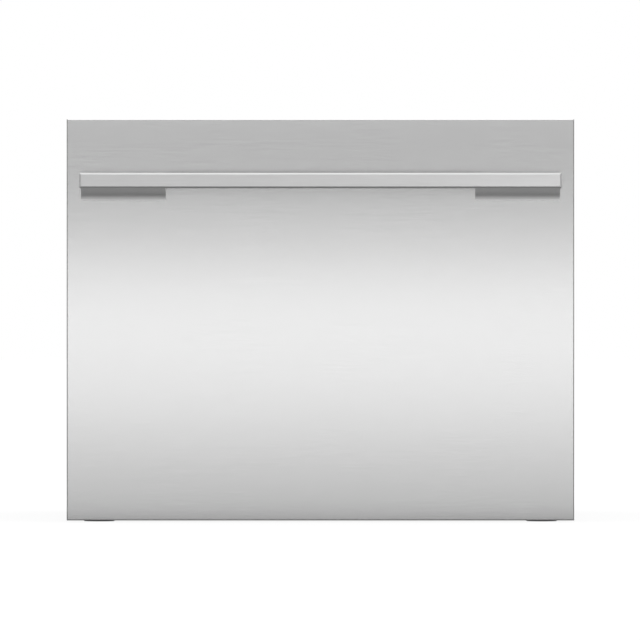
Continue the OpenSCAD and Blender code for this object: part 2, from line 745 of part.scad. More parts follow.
// Straight wires between the posts: four along the sides and one across each corner
module basket_ring(z) {
  end = corner_r + weld;
  half = corner_cut / sqrt(2) - end;
  for (s = [-1, 1]) {
    rod_x(-ring_x + corner_cut + end, ring_x - corner_cut - end, s * ring_y, z, wire_r);
    rod_y(-ring_y + corner_cut + end, ring_y - corner_cut - end, s * ring_x, z, wire_r);
  }
  for (x = [-1, 1], y = [-1, 1])
    translate([x * (ring_x - corner_cut / 2), y * (ring_y - corner_cut / 2), z]) rotate(-45 * x * y)
      rod_x(-half, half, 0, 0, wire_r);
}

function tine_y(n) = cross_y0 + (n + 0.5) * wire_pitch;

// Hairpins that lie between the cross wires and stand up as two rows of tines
module plate_tines() color("slategray") at_basket() for (n = [1:cross_n - 2])
  translate([0, tine_y(n), cross_z]) {
    rod_x(-tine_row_x, tine_row_x, 0, 0, wire_r);
    for (s = [-1, 1]) {
      rod_z(0, tine_len, s * tine_row_x, 0, wire_r);
      translate([s * tine_row_x, 0, 0]) sphere(wire_r);
      translate([s * tine_row_x, 0, tine_len]) sphere(wire_r);
    }
  }

axle_r = wire_r + 0.25;
axle_z = cross_z + wire_r + weld + axle_r;
clip_w = 8;
left_fold_first = 1;
right_fold_first = 4;

// A comb of tines on an axle, which folds outwards about that axle
module fold_tines(side, first) color("slategray") at_basket() {
  rod_y(tine_y(first) - 12, tine_y(cross_n - 2) + 12, side * fold_row_x, axle_z, axle_r);
  for (n = [first:cross_n - 2]) {
    rod_z(axle_z + axle_r + weld, axle_z + tine_len, side * fold_row_x, tine_y(n), wire_r);
    translate([side * fold_row_x, tine_y(n), axle_z + tine_len]) sphere(wire_r);
  }
}

module left_fold_tines() fold_tines(-1, left_fold_first);
module right_fold_tines() fold_tines(1, right_fold_first);

cup_rod_r = 2.5;
cup_axis_x = side_x - wire_r - cup_rod_r - 3;
cup_axis_z = top_z + 5;
cup_t = 3;
clip_reach = ring_x + wire_r + 2 - cup_axis_x;
left_cup_first = 0.5;
right_cup_first = 3.5;
cup_last = cross_n - 0.5;
left_clip = 1;
right_clip = 5;
last_clip = 2 * floor(cross_n / 2) - 1;

// Clips: on the axles of the folding tines, and on the top wire for the cup racks
module basket_clips() color("darkgray") at_basket() {
  for (n = [2, cross_n - 3]) axle_clip(-1, tine_y(n) + wire_pitch / 2);
  for (n = [5, cross_n - 3]) axle_clip(1, tine_y(n) + wire_pitch / 2);
  for (n = [left_clip, last_clip]) cup_clip(-1, cross_y0 + n * wire_pitch);
  for (n = [right_clip, last_clip]) cup_clip(1, cross_y0 + n * wire_pitch);
}

// It stands on a cross wire and closes round the axle
module axle_clip(side, y) translate([side * fold_row_x, y, axle_z]) difference() {
  along_y(-3, 3) {
    circle(axle_r + 2.2);
    translate([-clip_w / 2, -axle_r - 2.2 - 2 * wire_r]) square([clip_w, axle_r + 2 * wire_r]);
  }
  rod_y(-4, 4, 0, 0, axle_r + slip);
  rod_x(-clip_w, clip_w, 0, cross_z - axle_z, wire_r + weld);
}

// It grips the basket's top wire and holds the cup rack's rod
module cup_clip(side, y) translate([0, y, 0]) difference() {
  along_y(-5, 5) translate([side * cup_axis_x, cup_axis_z]) {
    circle(cup_rod_r + 2.5);
    translate([side > 0 ? 0 : -clip_reach, -cup_rod_r - 2.5]) square([clip_reach, 2 * cup_rod_r + 2]);
    translate([side > 0 ? clip_reach - 2 * wire_r - 4 : -clip_reach, top_z - 3 * wire_r - cup_axis_z])
      square([2 * wire_r + 4, 14]);
  }
  rod_y(-6, 6, side * cup_axis_x, cup_axis_z, cup_rod_r + slip);
  rod_y(-6, 6, side * ring_x, top_z - wire_r, wire_r + weld);
}

// A moulded shelf on a rod: it lies level in use and folds up against the tub's side
module cup_rack(side, first) color("darkgray") at_basket() {
  y0 = cross_y0 + first * wire_pitch;
  y1 = cross_y0 + cup_last * wire_pitch;
  rod_y(y0, y1, side * cup_axis_x, cup_axis_z, cup_rod_r);
  mirror([side < 0 ? 1 : 0, 0, 0]) difference() {
    union() {
      block([cup_axis_x - cup_rack_w, y0, cup_axis_z - cup_t / 2], [cup_axis_x, y1, cup_axis_z + cup_t / 2]);
      block(
        [cup_axis_x - cup_rack_w, y0, cup_axis_z - cup_t / 2],
        [cup_axis_x - cup_rack_w + cup_t, y1, cup_axis_z + 3 * cup_t]
      );
    }
    for (n = [0:ceil((y1 - y0) / 16) - 2]) block(
      [cup_axis_x - cup_rack_w + 9, y0 + 8 + n * 16, cup_axis_z - cup_t],
      [cup_axis_x - 14, y0 + 17 + n * 16, cup_axis_z + cup_t]
    );
    for (n = [left_clip, right_clip, last_clip]) block(
      [cup_axis_x - 8, cross_y0 + n * wire_pitch - 6, cup_axis_z - 9],
      [cup_axis_x + 3, cross_y0 + n * wire_pitch + 6, cup_axis_z + 9]
    );
  }
  rod_y(y0, y1, side * cup_axis_x, cup_axis_z, cup_rod_r);
}

module left_cup_rack() cup_rack(-1, left_cup_first);
module right_cup_rack() cup_rack(1, right_cup_first);

cutlery_w = 92;
cutlery_d = 66;
cutlery_h = 116;
cutlery_t = 2;
cutlery_gap = 8;
cutlery_x = side_x - wire_r - cutlery_gap - cutlery_w / 2;
cutlery_y = -side_y + wire_r + cutlery_gap + cutlery_d / 2;
cutlery_cols = 5;

module cutlery_basket() color("darkgray") at_basket()
  translate([cutlery_x, cutlery_y, cross_z + wire_r + weld]) {
    difference() {
      slab(cutlery_w, cutlery_d, cutlery_h, 8);
      translate([0, 0, cutlery_t]) slab(cutlery_w - 2 * cutlery_t, cutlery_d - 2 * cutlery_t, cutlery_h, 6);
      for (n = [0:cutlery_cols - 1], z = [0:3]) block(
        [(n - cutlery_cols / 2) * 16 + 3, -cutlery_d, 14 + z * 22],
        [(n - cutlery_cols / 2) * 16 + 13, cutlery_d, 30 + z * 22]
      );
      for (n = [-1:1], z = [0:3]) block(
        [-cutlery_w, n * 18 - 6, 14 + z * 22],
        [cutlery_w, n * 18 + 6, 30 + z * 22]
      );
      for (n = [-4:4], y = [-1:1]) translate([n * 9, y * 16, -cut]) cylinder(r = 3, h = cutlery_t + 2 * cut);
    }
    for (x = [-1, 1]) block(
      [x * 15 - 1, -cutlery_d / 2 + 1, cutlery_t / 2],
      [x * 15 + 1, cutlery_d / 2 - 1, cutlery_h - 14]
    );
  }

// ---- Detergent dispenser and drying fan ----

dispenser_proud = 12;
dispenser_y1 = tub_y0 + tub_wall + dispenser_proud;
cup_w = 66;
cup_h = 62;
cup_depth = 22;
cup_x = -32;
flap_t = 3;
flap_pin_r = 1.5;
flap_pin_x = cup_x - cup_w / 2 - 4;
flap_pin_y = dispenser_y1 + 2.2;
cap_x = 44;
cap_r = 17;

module at_dispenser() in_frame() translate([dispenser_x, 0, dispenser_z]) children();

module dispenser() color("gainsboro") at_dispenser() {
  difference() {
    union() {
      block(
        [-dispenser_w / 2 + slip, frame_y0 + pad_t + 2, -dispenser_h / 2 + slip],
        [dispenser_w / 2 - slip, tub_y0 + tub_wall + slip, dispenser_h / 2 - slip]
      );
      along_y(tub_y0 + tub_wall + slip, dispenser_y1)
        rounded(dispenser_w + 2 * dispenser_frame, dispenser_h + 2 * dispenser_frame, 10);
    }
    block(
      [cup_x - cup_w / 2, dispenser_y1 - cup_depth, -cup_h / 2],
      [cup_x + cup_w / 2, dispenser_y1 + cut, cup_h / 2]
    );
    rod_y(dispenser_y1 - cup_depth, dispenser_y1 + cut, cap_x, 0, cap_r - 4);
    rod_y(dispenser_y1 - 4, dispenser_y1 + cut, cap_x, 0, cap_r + slip);
  }
  for (z = [-1, 1]) difference() {
    block(
      [flap_pin_x - 3.5, dispenser_y1 - cut, z * 27 - 2],
      [flap_pin_x + 3.5, flap_pin_y + 3.5, z * 27 + 2]
    );
    rod_z(-cup_h, cup_h, flap_pin_x, flap_pin_y, flap_pin_r + slip / 2);
  }
}

module dispenser_flap() color("whitesmoke") at_dispenser() {
  difference() {
    block(
      [flap_pin_x, dispenser_y1 + touch, -cup_h / 2 - 3],
      [cup_x + cup_w / 2 + 4, dispenser_y1 + touch + flap_t, cup_h / 2 + 3]
    );
    for (z = [-1, 1]) block(
      [flap_pin_x - 5, dispenser_y1, z * 27 - 2.3],
      [flap_pin_x + 6, dispenser_y1 + 9, z * 27 + 2.3]
    );
  }
  rod_z(-cup_h / 2 - 3, cup_h / 2 + 3, flap_pin_x, flap_pin_y, flap_pin_r);
  block(
    [cup_x + cup_w / 2 - 8, dispenser_y1 + flap_t, -9],
    [cup_x + cup_w / 2 - 5, dispenser_y1 + flap_t + 4, 9]
  );
}

module rinse_aid_cap() color("steelblue") at_dispenser() {
  rod_y(dispenser_y1 - 4 + slip, dispenser_y1 + 2, cap_x, 0, cap_r);
  rod_y(dispenser_y1 - 14, dispenser_y1 - 3, cap_x, 0, cap_r - 4 - slip);
  block([cap_x - 13, dispenser_y1, -2.5], [cap_x + 13, dispenser_y1 + 7, 2.5]);
}

fan_t = 16;
fan_y1 = frame_y1 - frame_wall;
fan_y0 = fan_y1 - fan_t;

module at_fan() in_frame() translate([fan_x, 0, fan_z]) children();

module fan_housing() color("darkslategray") at_fan() {
  difference() {
    union() {
      rod_y(fan_y0, fan_y1, 0, 0, fan_r + 3);
      block([0, fan_y0, fan_r - 15], [fan_r + 24, fan_y1, fan_r + 3]);
    }
    rod_y(fan_y0 + 2, fan_y1 - 2, 0, 0, fan_r);
    block([0, fan_y0 + 2, fan_r - 13], [fan_r + 26, fan_y1 - 2, fan_r + 1]);
    rod_y(fan_y1 - 3, fan_y1 + cut, 0, 0, fan_r / 2.2);
  }
  rod_y(fan_y0 + 1, fan_y0 + 6, 0, 0, 2);
}

module fan_rotor() color("black") at_fan() {
  difference() {
    rod_y(fan_y0 + 3, fan_y0 + 11, 0, 0, 11);
    rod_y(fan_y0 + 2, fan_y0 + 6 + touch, 0, 0, 2 + slip);
  }
  for (n = [0:8]) rotate([0, n * 40, 0]) block([9, fan_y0 + 3.5, -1], [fan_r - 2, fan_y0 + 10.5, 1]);
}

// ---- Runners ----

middle_half = rail_h / 2 - rail_t - outer_ball_d - slip;
inner_half = middle_half - slim_t - inner_ball_d - slip;
outer_ball_z = (rail_h / 2 - rail_t + middle_half) / 2;
inner_ball_z = (middle_half - slim_t + inner_half) / 2;
middle_u0 = rail_t + 1;
inner_cage_u = middle_u0 + slim_t + 0.3;
inner_u0 = inner_cage_u + 0.8;
outer_ball_u = 6.5;
inner_ball_u = 7.2;
rail_feet = [0.28, 0.51, 0.73];
rail_foot_w = 36;
cage_y0 = rail_y0 + drawer_travel / 4 + 0.5;
cage_y1 = rail_y1 - drawer_travel / 4 - 0.5;
ball_pitch = (cage_y1 - cage_y0 - 20) / (balls - 1);

// u runs from the outer member's web towards the tub, v is the height above the runner's centre
module at_rail(side) in_frame() mirror([side < 0 ? 1 : 0, 0, 0]) translate([rail_x, 0, rail_z])
  mirror([1, 0, 0]) children();

// A channel whose web lies at u0, with short lips turned in at u1
module channel(u0, u1, half, t, lip) {
  translate([u0, -half]) square([t, 2 * half]);
  for (s = [0, 1]) mirror([0, s]) {
    translate([u0, half - t]) square([u1 - u0, t]);
    translate([u1 - t, half - lip]) square([t, lip]);
  }
}

module outer_rails() color("silver") for (side = [-1, 1]) at_rail(side) {
  along_y(rail_y0, rail_y1) channel(0, rail_d - 0.5, rail_h / 2, rail_t, rail_t + 1.5);
  for (f = rail_feet) translate([0, cab_y0 + f * cab_d, 0]) difference() {
    block([-rail_standoff, -rail_foot_w / 2, -rail_h / 3], [rail_t / 2, rail_foot_w / 2, rail_h / 3]);
    block(
      [-rail_standoff + rail_t, -rail_foot_w / 2 + rail_t, -rail_h],
      [0, rail_foot_w / 2 - rail_t, rail_h]
    );
  }
}

module middle_rail(side) color("lightgray") at_rail(side)
  along_y(rail_y0, rail_y1) channel(middle_u0, rail_d - 1.5, middle_half, slim_t, slim_t + 1.2);

module left_middle_rail() middle_rail(-1);
module right_middle_rail() middle_rail(1);

module inner_rails() color("silver") for (side = [-1, 1]) at_rail(side) difference() {
  along_y(rail_y0, rail_y1) {
    translate([rail_d - slim_t, -inner_half]) square([slim_t, 2 * inner_half]);
    for (s = [0, 1]) mirror([0, s]) translate([inner_u0, inner_half - slim_t])
      square([rail_d - inner_u0, slim_t]);
  }
  for (n = rail_screw_walls) rod_x(inner_u0, rail_d + cut, rail_screw_y(n), 0, rail_screw_r + slip);
}

// Two strips joined by a web, with a row of loose balls in each strip
module ball_cages(u0, web_t, half, ball_u, ball_z, ball_r) for (side = [-1, 1]) at_rail(side) {
  difference() {
    along_y(cage_y0, cage_y1) {
      translate([u0, -half]) square([web_t, 2 * half]);
      for (s = [-1, 1]) translate([u0, s * ball_z - 0.3]) square([ball_u + ball_r - u0, 0.6]);
    }
    for (n = [0:balls - 1], s = [-1, 1]) translate([ball_u, cage_y0 + 10 + n * ball_pitch, s * ball_z])
      sphere(ball_r + slip);
  }
  for (n = [0:balls - 1], s = [-1, 1]) translate([ball_u, cage_y0 + 10 + n * ball_pitch, s * ball_z])
    sphere(ball_r);
}

module outer_ball_cages() color("dimgray")
  ball_cages(rail_t + 0.2, 0.5, outer_ball_z + 1.2, outer_ball_u, outer_ball_z, outer_ball_d / 2);
module inner_ball_cages() color("dimgray")
  ball_cages(inner_cage_u, 0.4, inner_ball_z + 1, inner_ball_u, inner_ball_z, inner_ball_d / 2);

// ---- Cabinet ----

bead_w = 14;
side_bead_low = 40;
side_bead_high = 90;
side_bead_z0 = cab_z0 + side_bead_low;
side_bead_z1 = cab_z1 - side_bead_high;
side_bead_at = [0.16, 0.4, 0.62, 0.84];
top_bead_at = [0.25, 0.5, 0.75];
top_bead_len = 0.8 * cab_w;
side_screw_r = 2.5;
side_screw_y = 14;
side_screw_dz = 130;
tab_w = 40;
tab_t = 1.5;
tab_d = 34;
tab_dx = 200;
tab_hole_r = 2.5;
pocket_x0 = -200;
pocket_x1 = -60;
pocket_z0 = 50;
pocket_z1 = 106;
pocket_depth = 44;
pocket_wall = 2;
rear_bead_x = 0.85 * wall_x;
rear_bead_z0 = pocket_z1 + 20;
rear_bead_z1 = cab_z1 - 40;

// The cabinet's pressed beads; "inside" is how far the drawn form lies within the bead's outer one
module side_beads(inside, out) both_sides() for (f = side_bead_at)
  along_x(wall_x - bead_depth + inside, wall_x + out)
    translate([cab_y0 + f * cab_d, (side_bead_z0 + side_bead_z1) / 2])
      strip(bead_w - 2 * inside, side_bead_z1 - side_bead_z0 - 2 * inside);

module top_beads(inside, out) for (f = top_bead_at)
  translate([0, cab_y0 + f * cab_d, cab_z1 - cab_sheet - bead_depth + inside])
    linear_extrude(bead_depth - inside + out) rotate(90)
      strip(bead_w - 2 * inside, top_bead_len - 2 * inside);

module rear_beads(inside, out) for (x = [-1, 1])
  along_y(rear_y - cab_sheet - bead_depth + inside, rear_y - cab_sheet + out)
    translate([x * rear_bead_x, (rear_bead_z0 + rear_bead_z1) / 2])
      strip(bead_w - 2 * inside, rear_bead_z1 - rear_bead_z0 - 2 * inside);

module cabinet_wrapper() color("lightsteelblue") in_frame() {
  difference() {
    union() {
      both_sides() block([wall_x, cab_y0, cab_z0], [cab_x, cab_y1, cab_z1]);
      block([-cab_x, cab_y0, cab_z1 - cab_sheet], [cab_x, cab_y1, cab_z1]);
      both_sides() block(
        [cab_x - cab_sheet - front_flange, cab_y0, cab_z0],
        [cab_x, cab_y0 + cab_sheet, cab_z1]
      );
      block([-wall_x, cab_y0, cab_z1 - cab_sheet - front_flange], [wall_x, cab_y0 + cab_sheet, cab_z1]);
      both_sides() block(
        [wall_x - rear_flange, rear_y - 2 * cab_sheet, cab_z0 + tray_wall_h + 8],
        [wall_x + cab_sheet / 2, rear_y - cab_sheet, cab_z1 - cab_sheet]
      );
      block(
        [-wall_x, rear_y - 2 * cab_sheet, cab_z1 - cab_sheet - rear_flange],
        [wall_x, rear_y - cab_sheet, cab_z1 - cab_sheet / 2]
      );
      side_beads(0, cab_sheet / 2);
      top_beads(0, cab_sheet / 2);
    }
    side_beads(cab_sheet, cab_sheet + cut);
    top_beads(cab_sheet, cab_sheet + cut);
    for (z = [-1, 1]) translate([0, cab_y0 + side_screw_y, (cab_z0 + cab_z1) / 2 + z * side_screw_dz])
      rod_x(-cab_x - cut, cab_x + cut, 0, 0, side_screw_r);
    tab_holes();
    at_rear_screws() translate([0, 0, -4 * cab_sheet]) cylinder(r = rear_screw_r, h = 4 * cab_sheet);
  }
  difference() {
    for (x = [-1, 1]) translate([x * tab_dx, 0, 0]) block(
      [-tab_w / 2, cab_y0, cab_z1],
      [tab_w / 2, cab_y0 + tab_d, cab_z1 + tab_t]
    );
    tab_holes();
  }
}

// The holes for the screws that go up through the top tabs into the worktop
module tab_holes() for (x = [-1, 1])
  rod_z(cab_z1 - 2 * cab_sheet, cab_z1 + tab_t + cut, x * tab_dx, cab_y0 + tab_d / 2, tab_hole_r);

louvres = 9;
louvre_w = 120;
louvre_h = 5;
louvre_pitch = 12;
louvre_drop = 148;
rear_screw_r = 1.8;

// Where the screws hold the rear panel to the cabinet's flange
module at_rear_screws() {
  for (side = [-1, 1], z = [0.2, 0.55, 0.9])
    translate([side * (wall_x - rear_flange / 2), rear_y, cab_z0 + z * cab_h]) rotate([-90, 0, 0]) children();
  for (x = [-0.6, 0, 0.6])
    translate([x * wall_x, rear_y, cab_z1 - cab_sheet - rear_flange / 2]) rotate([-90, 0, 0]) children();
}

module rear_panel() color("lightsteelblue") in_frame() difference() {
  union() {
    block(
      [-wall_x + touch, rear_y - cab_sheet, cab_z0 + touch],
      [wall_x - touch, rear_y, cab_z1 - cab_sheet - touch]
    );
    rear_beads(0, cab_sheet / 2);
  }
  rear_beads(cab_sheet, cab_sheet + cut);
  block([pocket_x0, rear_y - 5, pocket_z0], [pocket_x1, rear_y + cut, pocket_z1]);
  for (n = [0:louvres - 1]) along_y(rear_y - 2 * cab_sheet, rear_y + cut)
    translate([0, cab_z1 - louvre_drop + n * louvre_pitch]) rotate(90) strip(louvre_h, louvre_w);
  at_rear_screws() translate([0, 0, -2 * cab_sheet]) cylinder(r = rear_screw_r + slip, h = 3 * cab_sheet);
}

tray_x = wall_x;
tray_y0 = cab_y0 + cab_sheet;
tray_y1 = rear_y - 2 * cab_sheet;
boss_r = foot_stem_r + 8;
boss_top = cab_z0 + foot_travel + 6;

foot_web_t = 3;

module at_foot(x, y) translate([
  x * (cab_x - foot_in_x),
  y < 0 ? cab_y0 + foot_in_y : cab_y1 - foot_in_y, 0
]) children();

module base_tray() color("slategray") in_frame() difference() {
  union() {
    block([-tray_x, tray_y0, cab_z0], [tray_x, tray_y1, tray_z1]);
    both_sides() block([tray_x - tray_t, tray_y0, cab_z0], [tray_x, tray_y1, cab_z0 + tray_wall_h]);
    block([-tray_x, tray_y1 - tray_t, cab_z0], [tray_x, tray_y1, cab_z0 + tray_wall_h]);
    block([-tray_x, tray_y0, cab_z0], [tray_x, tray_y0 + tray_t, cab_z0 + tray_lip_h]);
    for (x = [-1, 1], y = [-1, 1]) at_foot(x, y) rod_z(cab_z0, boss_top, 0, 0, boss_r);
    for (y = [-1, 1]) at_foot(0, y) block(
      [-cab_x + foot_in_x, -foot_web_t / 2, cab_z0],
      [cab_x - foot_in_x, foot_web_t / 2, tray_z1 + link_gap / 2]
    );
    rod_z(cab_z0, link_z0, link_x, link_a_y, link_pin_r + 8);
    rod_z(cab_z0, link_z0 + link_t, link_x, link_a_y, link_pin_r);
  }
  for (x = [-1, 1], y = [-1, 1]) at_foot(x, y) rod_z(cab_z0 - cut, boss_top + cut, 0, 0, foot_stem_r + slip);
}

module foot(x, y) color("dimgray") in_frame() at_foot(x, y) {
  rod_z(0, foot_pad_h, 0, 0, foot_pad_r);
  translate([0, 0, foot_pad_h]) cylinder(r = foot_stem_r + 5, h = foot_h - foot_pad_h - slip, $fn = 6);
  rod_z(foot_pad_h, boss_top + 2, 0, 0, foot_stem_r);
}

module front_left_foot() foot(-1, -1);
module front_right_foot() foot(1, -1);
module rear_left_foot() foot(-1, 1);
module rear_right_foot() foot(1, 1);

gasket_t = cab_gap - touch;

module front_gasket() color("black") in_frame() {
  both_sides() block(
    [cab_x - front_flange, cab_y0 - gasket_t, cab_z0 + 20],
    [cab_x - 1, cab_y0, cab_z1 - 1]
  );
  block(
    [-cab_x + front_flange, cab_y0 - gasket_t, cab_z1 - front_flange],
    [cab_x - front_flange, cab_y0, cab_z1 - 1]
  );
}

module cabinet_screws() color("silver") in_frame() {
  at_rear_screws() screw(rear_screw_r - slip / 2, 3 * cab_sheet);
}

module drawer_screws() color("silver") {
  in_frame() {
    at_handle_screws() translate([0, 0, panel_sheet])
      screw(handle_screw_r - slip, panel_sheet + post_d / 2 - 2);
    at_frame_screws() screw(frame_screw_r - slip / 2, frame_wall + panel_sheet + 2);
  }
  for (side = [-1, 1], n = rail_screw_walls) at_rail(side)
    translate([rail_d - slim_t, rail_screw_y(n), 0]) rotate([0, -90, 0])
      screw(rail_screw_r - slip / 2, slim_t + rail_screw_len - 1);
}

// ---- Lid and its lift ----

lid_x = rim_x - 2;
lid_y0 = frame_y1 + 2;
lid_y1 = tub_y1 + rim_out - 2;
lid_cy = (lid_y0 + lid_y1) / 2;
lid_corner_r = tub_corner_r + rim_out - 2;
lid_rib_dx = 70;
lid_rib_dy = 80;
lift_x0 = lid_x + 5;
lift_x1 = lift_x0 + 2;
rack_x1 = lift_x0 + 7;
rail_flange_t = 1.8;
lift_y = [0.12, 0.5, 0.88];
pitch_r = gear_m * pinion_teeth / 2;
pressure = 25;
backlash = 0.2;
pinion_y = tub_cy;
pinion_z = lid_z0 - 3;
rack_back = 5;
rack_teeth = 10;
guide_w = 18;
guide_slot = 6;
angle_end = 30;

module lid_panel() color("gainsboro") in_frame() translate([0, lid_cy, lid_z0]) {
  slab(2 * lid_x, lid_y1 - lid_y0, lid_t, lid_corner_r);
  ring_slab(2 * lid_x, lid_y1 - lid_y0, lid_h, lid_corner_r, lid_t);
  for (x = [-3:3]) translate([x * lid_rib_dx, 0, 0])
    block([-1, lid_y0 - lid_cy + 1, lid_t / 2], [1, lid_y1 - lid_cy - 1, lid_h - 3]);
  for (y = [-2:2]) translate([0, y * lid_rib_dy, 0])
    block([-lid_x + 1, -1, lid_t / 2], [lid_x - 1, 1, lid_h - 3]);
}

module lid_seal() color("dimgray") in_frame() translate([0, lid_cy, lid_z0 - seal_h]) {
  translate([0, 0, seal_h / 2]) ring_slab(2 * lid_x, lid_y1 - lid_y0, seal_h / 2, lid_corner_r, seal_w);
  ring_slab(2 * lid_x - 4, lid_y1 - lid_y0 - 4, seal_h / 2, lid_corner_r - 2, seal_w / 2);
}

// Each side has an angle along the lid with a rack in its middle and a tongue near each end
module lift_racks() color("silver") in_frame() both_sides() {
  block([lift_x0, lid_y0 + angle_end, lid_z0], [lift_x1, lid_y1 - angle_end, lid_z1 + rail_flange_t]);
  for (f = lift_y) translate([0, lid_y0 + f * (lid_y1 - lid_y0), 0])
    block([lid_x - 8, -12, lid_z1], [lift_x1, 12, lid_z1 + rail_flange_t]);
  along_x(lift_x0, rack_x1) rack_outline();
  for (f = [lift_y[0], lift_y[2]]) translate([0, lid_y0 + f * (lid_y1 - lid_y0), 0]) block(
    [lift_x1 - cut, -guide_slot / 2 + slip, lid_z0 - 6],
    [lift_x1 + 6, guide_slot / 2 - slip, lid_z1 + rail_flange_t]
  );
}

// The rack's teeth point towards -Y, and a gap between teeth lies level with the pinion
module rack_outline() {
  pitch = PI * gear_m;
  half = pitch / 4 - backlash / 4;
  slope = tan(pressure);
  y0 = pinion_y + pitch_r;
  z0 = pinion_z - rack_teeth / 2 * pitch;
  translate([y0 + 1.25 * gear_m, z0]) square([rack_back, rack_teeth * pitch]);
  for (n = [0:rack_teeth - 1]) translate([y0, z0 + (n + 0.5) * pitch]) polygon([
    [1.25 * gear_m + 0.5, -half - 1.25 * gear_m * slope], [-gear_m, -half + gear_m * slope],
    [-gear_m, half - gear_m * slope], [1.25 * gear_m + 0.5, half + 1.25 * gear_m * slope]
  ]);
}

base_r = pitch_r * cos(pressure);
tip_r = pitch_r + gear_m;
root_r = pitch_r - 1.25 * gear_m;
tooth_half = 90 / pinion_teeth - backlash / 4 / pitch_r * 180 / PI;
flank_steps = 5;

function spread(r) = let (a = acos(min(1, base_r / r))) tan(a) * 180 / PI - a;
function flank_angle(r) = tooth_half + spread(pitch_r) - spread(r);
function flank_r(i) = base_r + (tip_r - base_r) * i / flank_steps;
function on_circle(r, a) = [r * cos(a), r * sin(a)];

// An involute spur gear with one tooth on its first axis
module pinion_outline() polygon([for (n = [0:pinion_teeth - 1]) let (a = n * 360 / pinion_teeth) each concat(
  [on_circle(root_r, a - flank_angle(base_r))],
  [for (i = [0:flank_steps]) on_circle(flank_r(i), a - flank_angle(flank_r(i)))],
  [for (i = [flank_steps:-1:0]) on_circle(flank_r(i), a + flank_angle(flank_r(i)))],
  [on_circle(root_r, a + flank_angle(base_r))]
)]);

pinion_shaft_r = 3;
gearbox_x0 = rack_x1 + 0.5;

module lift_pinion(side) color("goldenrod") in_frame() mirror([side < 0 ? 1 : 0, 0, 0]) {
  along_x(lift_x1 + touch, rack_x1) translate([pinion_y, pinion_z]) pinion_outline();
  rod_x(rack_x1 - cut, wall_x - 2, pinion_y, pinion_z, pinion_shaft_r);
}

module left_lift_pinion() lift_pinion(-1);
module right_lift_pinion() lift_pinion(1);

module lift_guides() color("dimgray") in_frame() both_sides()
  for (f = [lift_y[0], lift_y[2]]) translate([0, lid_y0 + f * (lid_y1 - lid_y0), 0]) difference() {
    block([lift_x1 + 0.5, -guide_w / 2, lid_z0 - 6 - lid_travel - 4], [wall_x, guide_w / 2, lid_z1 + 6]);
    block(
      [lift_x1, -guide_slot / 2, lid_z0 - 6 - lid_travel - touch],
      [lift_x1 + 6 + touch, guide_slot / 2, lid_z1 + 7]
    );
  }

gearbox_half = 16;
gearbox_back = 20;
motor_r = 5;
motor_len = 42;
motor_nose = 3;

module lift_motors() color("silver") in_frame() both_sides() difference() {
  union() {
    block(
      [gearbox_x0, pinion_y - gearbox_half, pinion_z - gearbox_half],
      [wall_x, pinion_y + gearbox_back, pinion_z + gearbox_half]
    );
    translate([(gearbox_x0 + wall_x) / 2, pinion_y + gearbox_back, pinion_z]) {
      rod_y(-cut, motor_len, 0, 0, motor_r);
      rod_y(motor_len - cut, motor_len + motor_nose, 0, 0, motor_r / 2);
    }
  }
  rod_x(gearbox_x0 - cut, wall_x - 1.5, pinion_y, pinion_z, pinion_shaft_r + slip / 2);
}

// ---- Services at the back ----

inlet_x = -92;
inlet_r = 13.2;
inlet_len = 16;
drain_x = -168;
drain_r = 9.5;
drain_len = 24;
gland_x = -130;
gland_r = 4.5;
port_z = (pocket_z0 + pocket_z1) / 2;
pocket_y0 = rear_y - pocket_depth;
inlet_y0 = pocket_y0 + pocket_wall + touch;

// A recessed plate with the water inlet's neck, the drain spigot and the mains cable's gland
module service_pocket() color("slategray") in_frame() difference() {
  union() {
    difference() {
      block(
        [pocket_x0 + touch, pocket_y0, pocket_z0 + touch],
        [pocket_x1 - touch, rear_y, pocket_z1 - touch]
      );
      block(
        [pocket_x0 + pocket_wall, pocket_y0 + pocket_wall, pocket_z0 + pocket_wall],
        [pocket_x1 - pocket_wall, rear_y + cut, pocket_z1 - pocket_wall]
      );
    }
    difference() {
      block([pocket_x0 - 6, rear_y, pocket_z0 - 6], [pocket_x1 + 6, rear_y + 1.5, pocket_z1 + 6]);
      block(
        [pocket_x0 + pocket_wall, rear_y - cut, pocket_z0 + pocket_wall],
        [pocket_x1 - pocket_wall, rear_y + 3, pocket_z1 - pocket_wall]
      );
    }
    rod_y(pocket_y0, pocket_y0 + pocket_wall + drain_len, drain_x, port_z, drain_r);
    rod_y(pocket_y0, pocket_y0 + pocket_wall + 8, gland_x, port_z, gland_r + 4);
  }
  rod_y(pocket_y0 - cut, cab_y1, drain_x, port_z, drain_r - 2);
  rod_y(pocket_y0 - cut, cab_y1, gland_x, port_z, gland_r);
  rod_y(pocket_y0 - cut, pocket_y0 + pocket_wall + cut, inlet_x, port_z, inlet_r + slip);
}

module inlet_valve() color("whitesmoke") in_frame() difference() {
  union() {
    rod_y(pocket_y0 - 20, pocket_y0 + pocket_wall + cut, inlet_x, port_z, inlet_r - 1);
    rod_y(inlet_y0, inlet_y0 + inlet_len, inlet_x, port_z, inlet_r);
    rod_y(pocket_y0 - 6, pocket_y0, inlet_x, port_z, inlet_r + 5);
    rod_z(port_z - 4, port_z + 26, inlet_x, pocket_y0 - 22, 12);
    rod_x(inlet_x - 30, inlet_x, pocket_y0 - 22, port_z + 2, 5);
  }
  rod_y(pocket_y0 - 4, cab_y1, inlet_x, port_z, inlet_r - 3);
}

module_w = 150;
module_d = 22;
module_h = 96;
module_wall = 2;
module_z = 140;
module_x = rear_bead_x - bead_w / 2 - 20 - module_w;
board_y = -14;
board_t = 1.6;

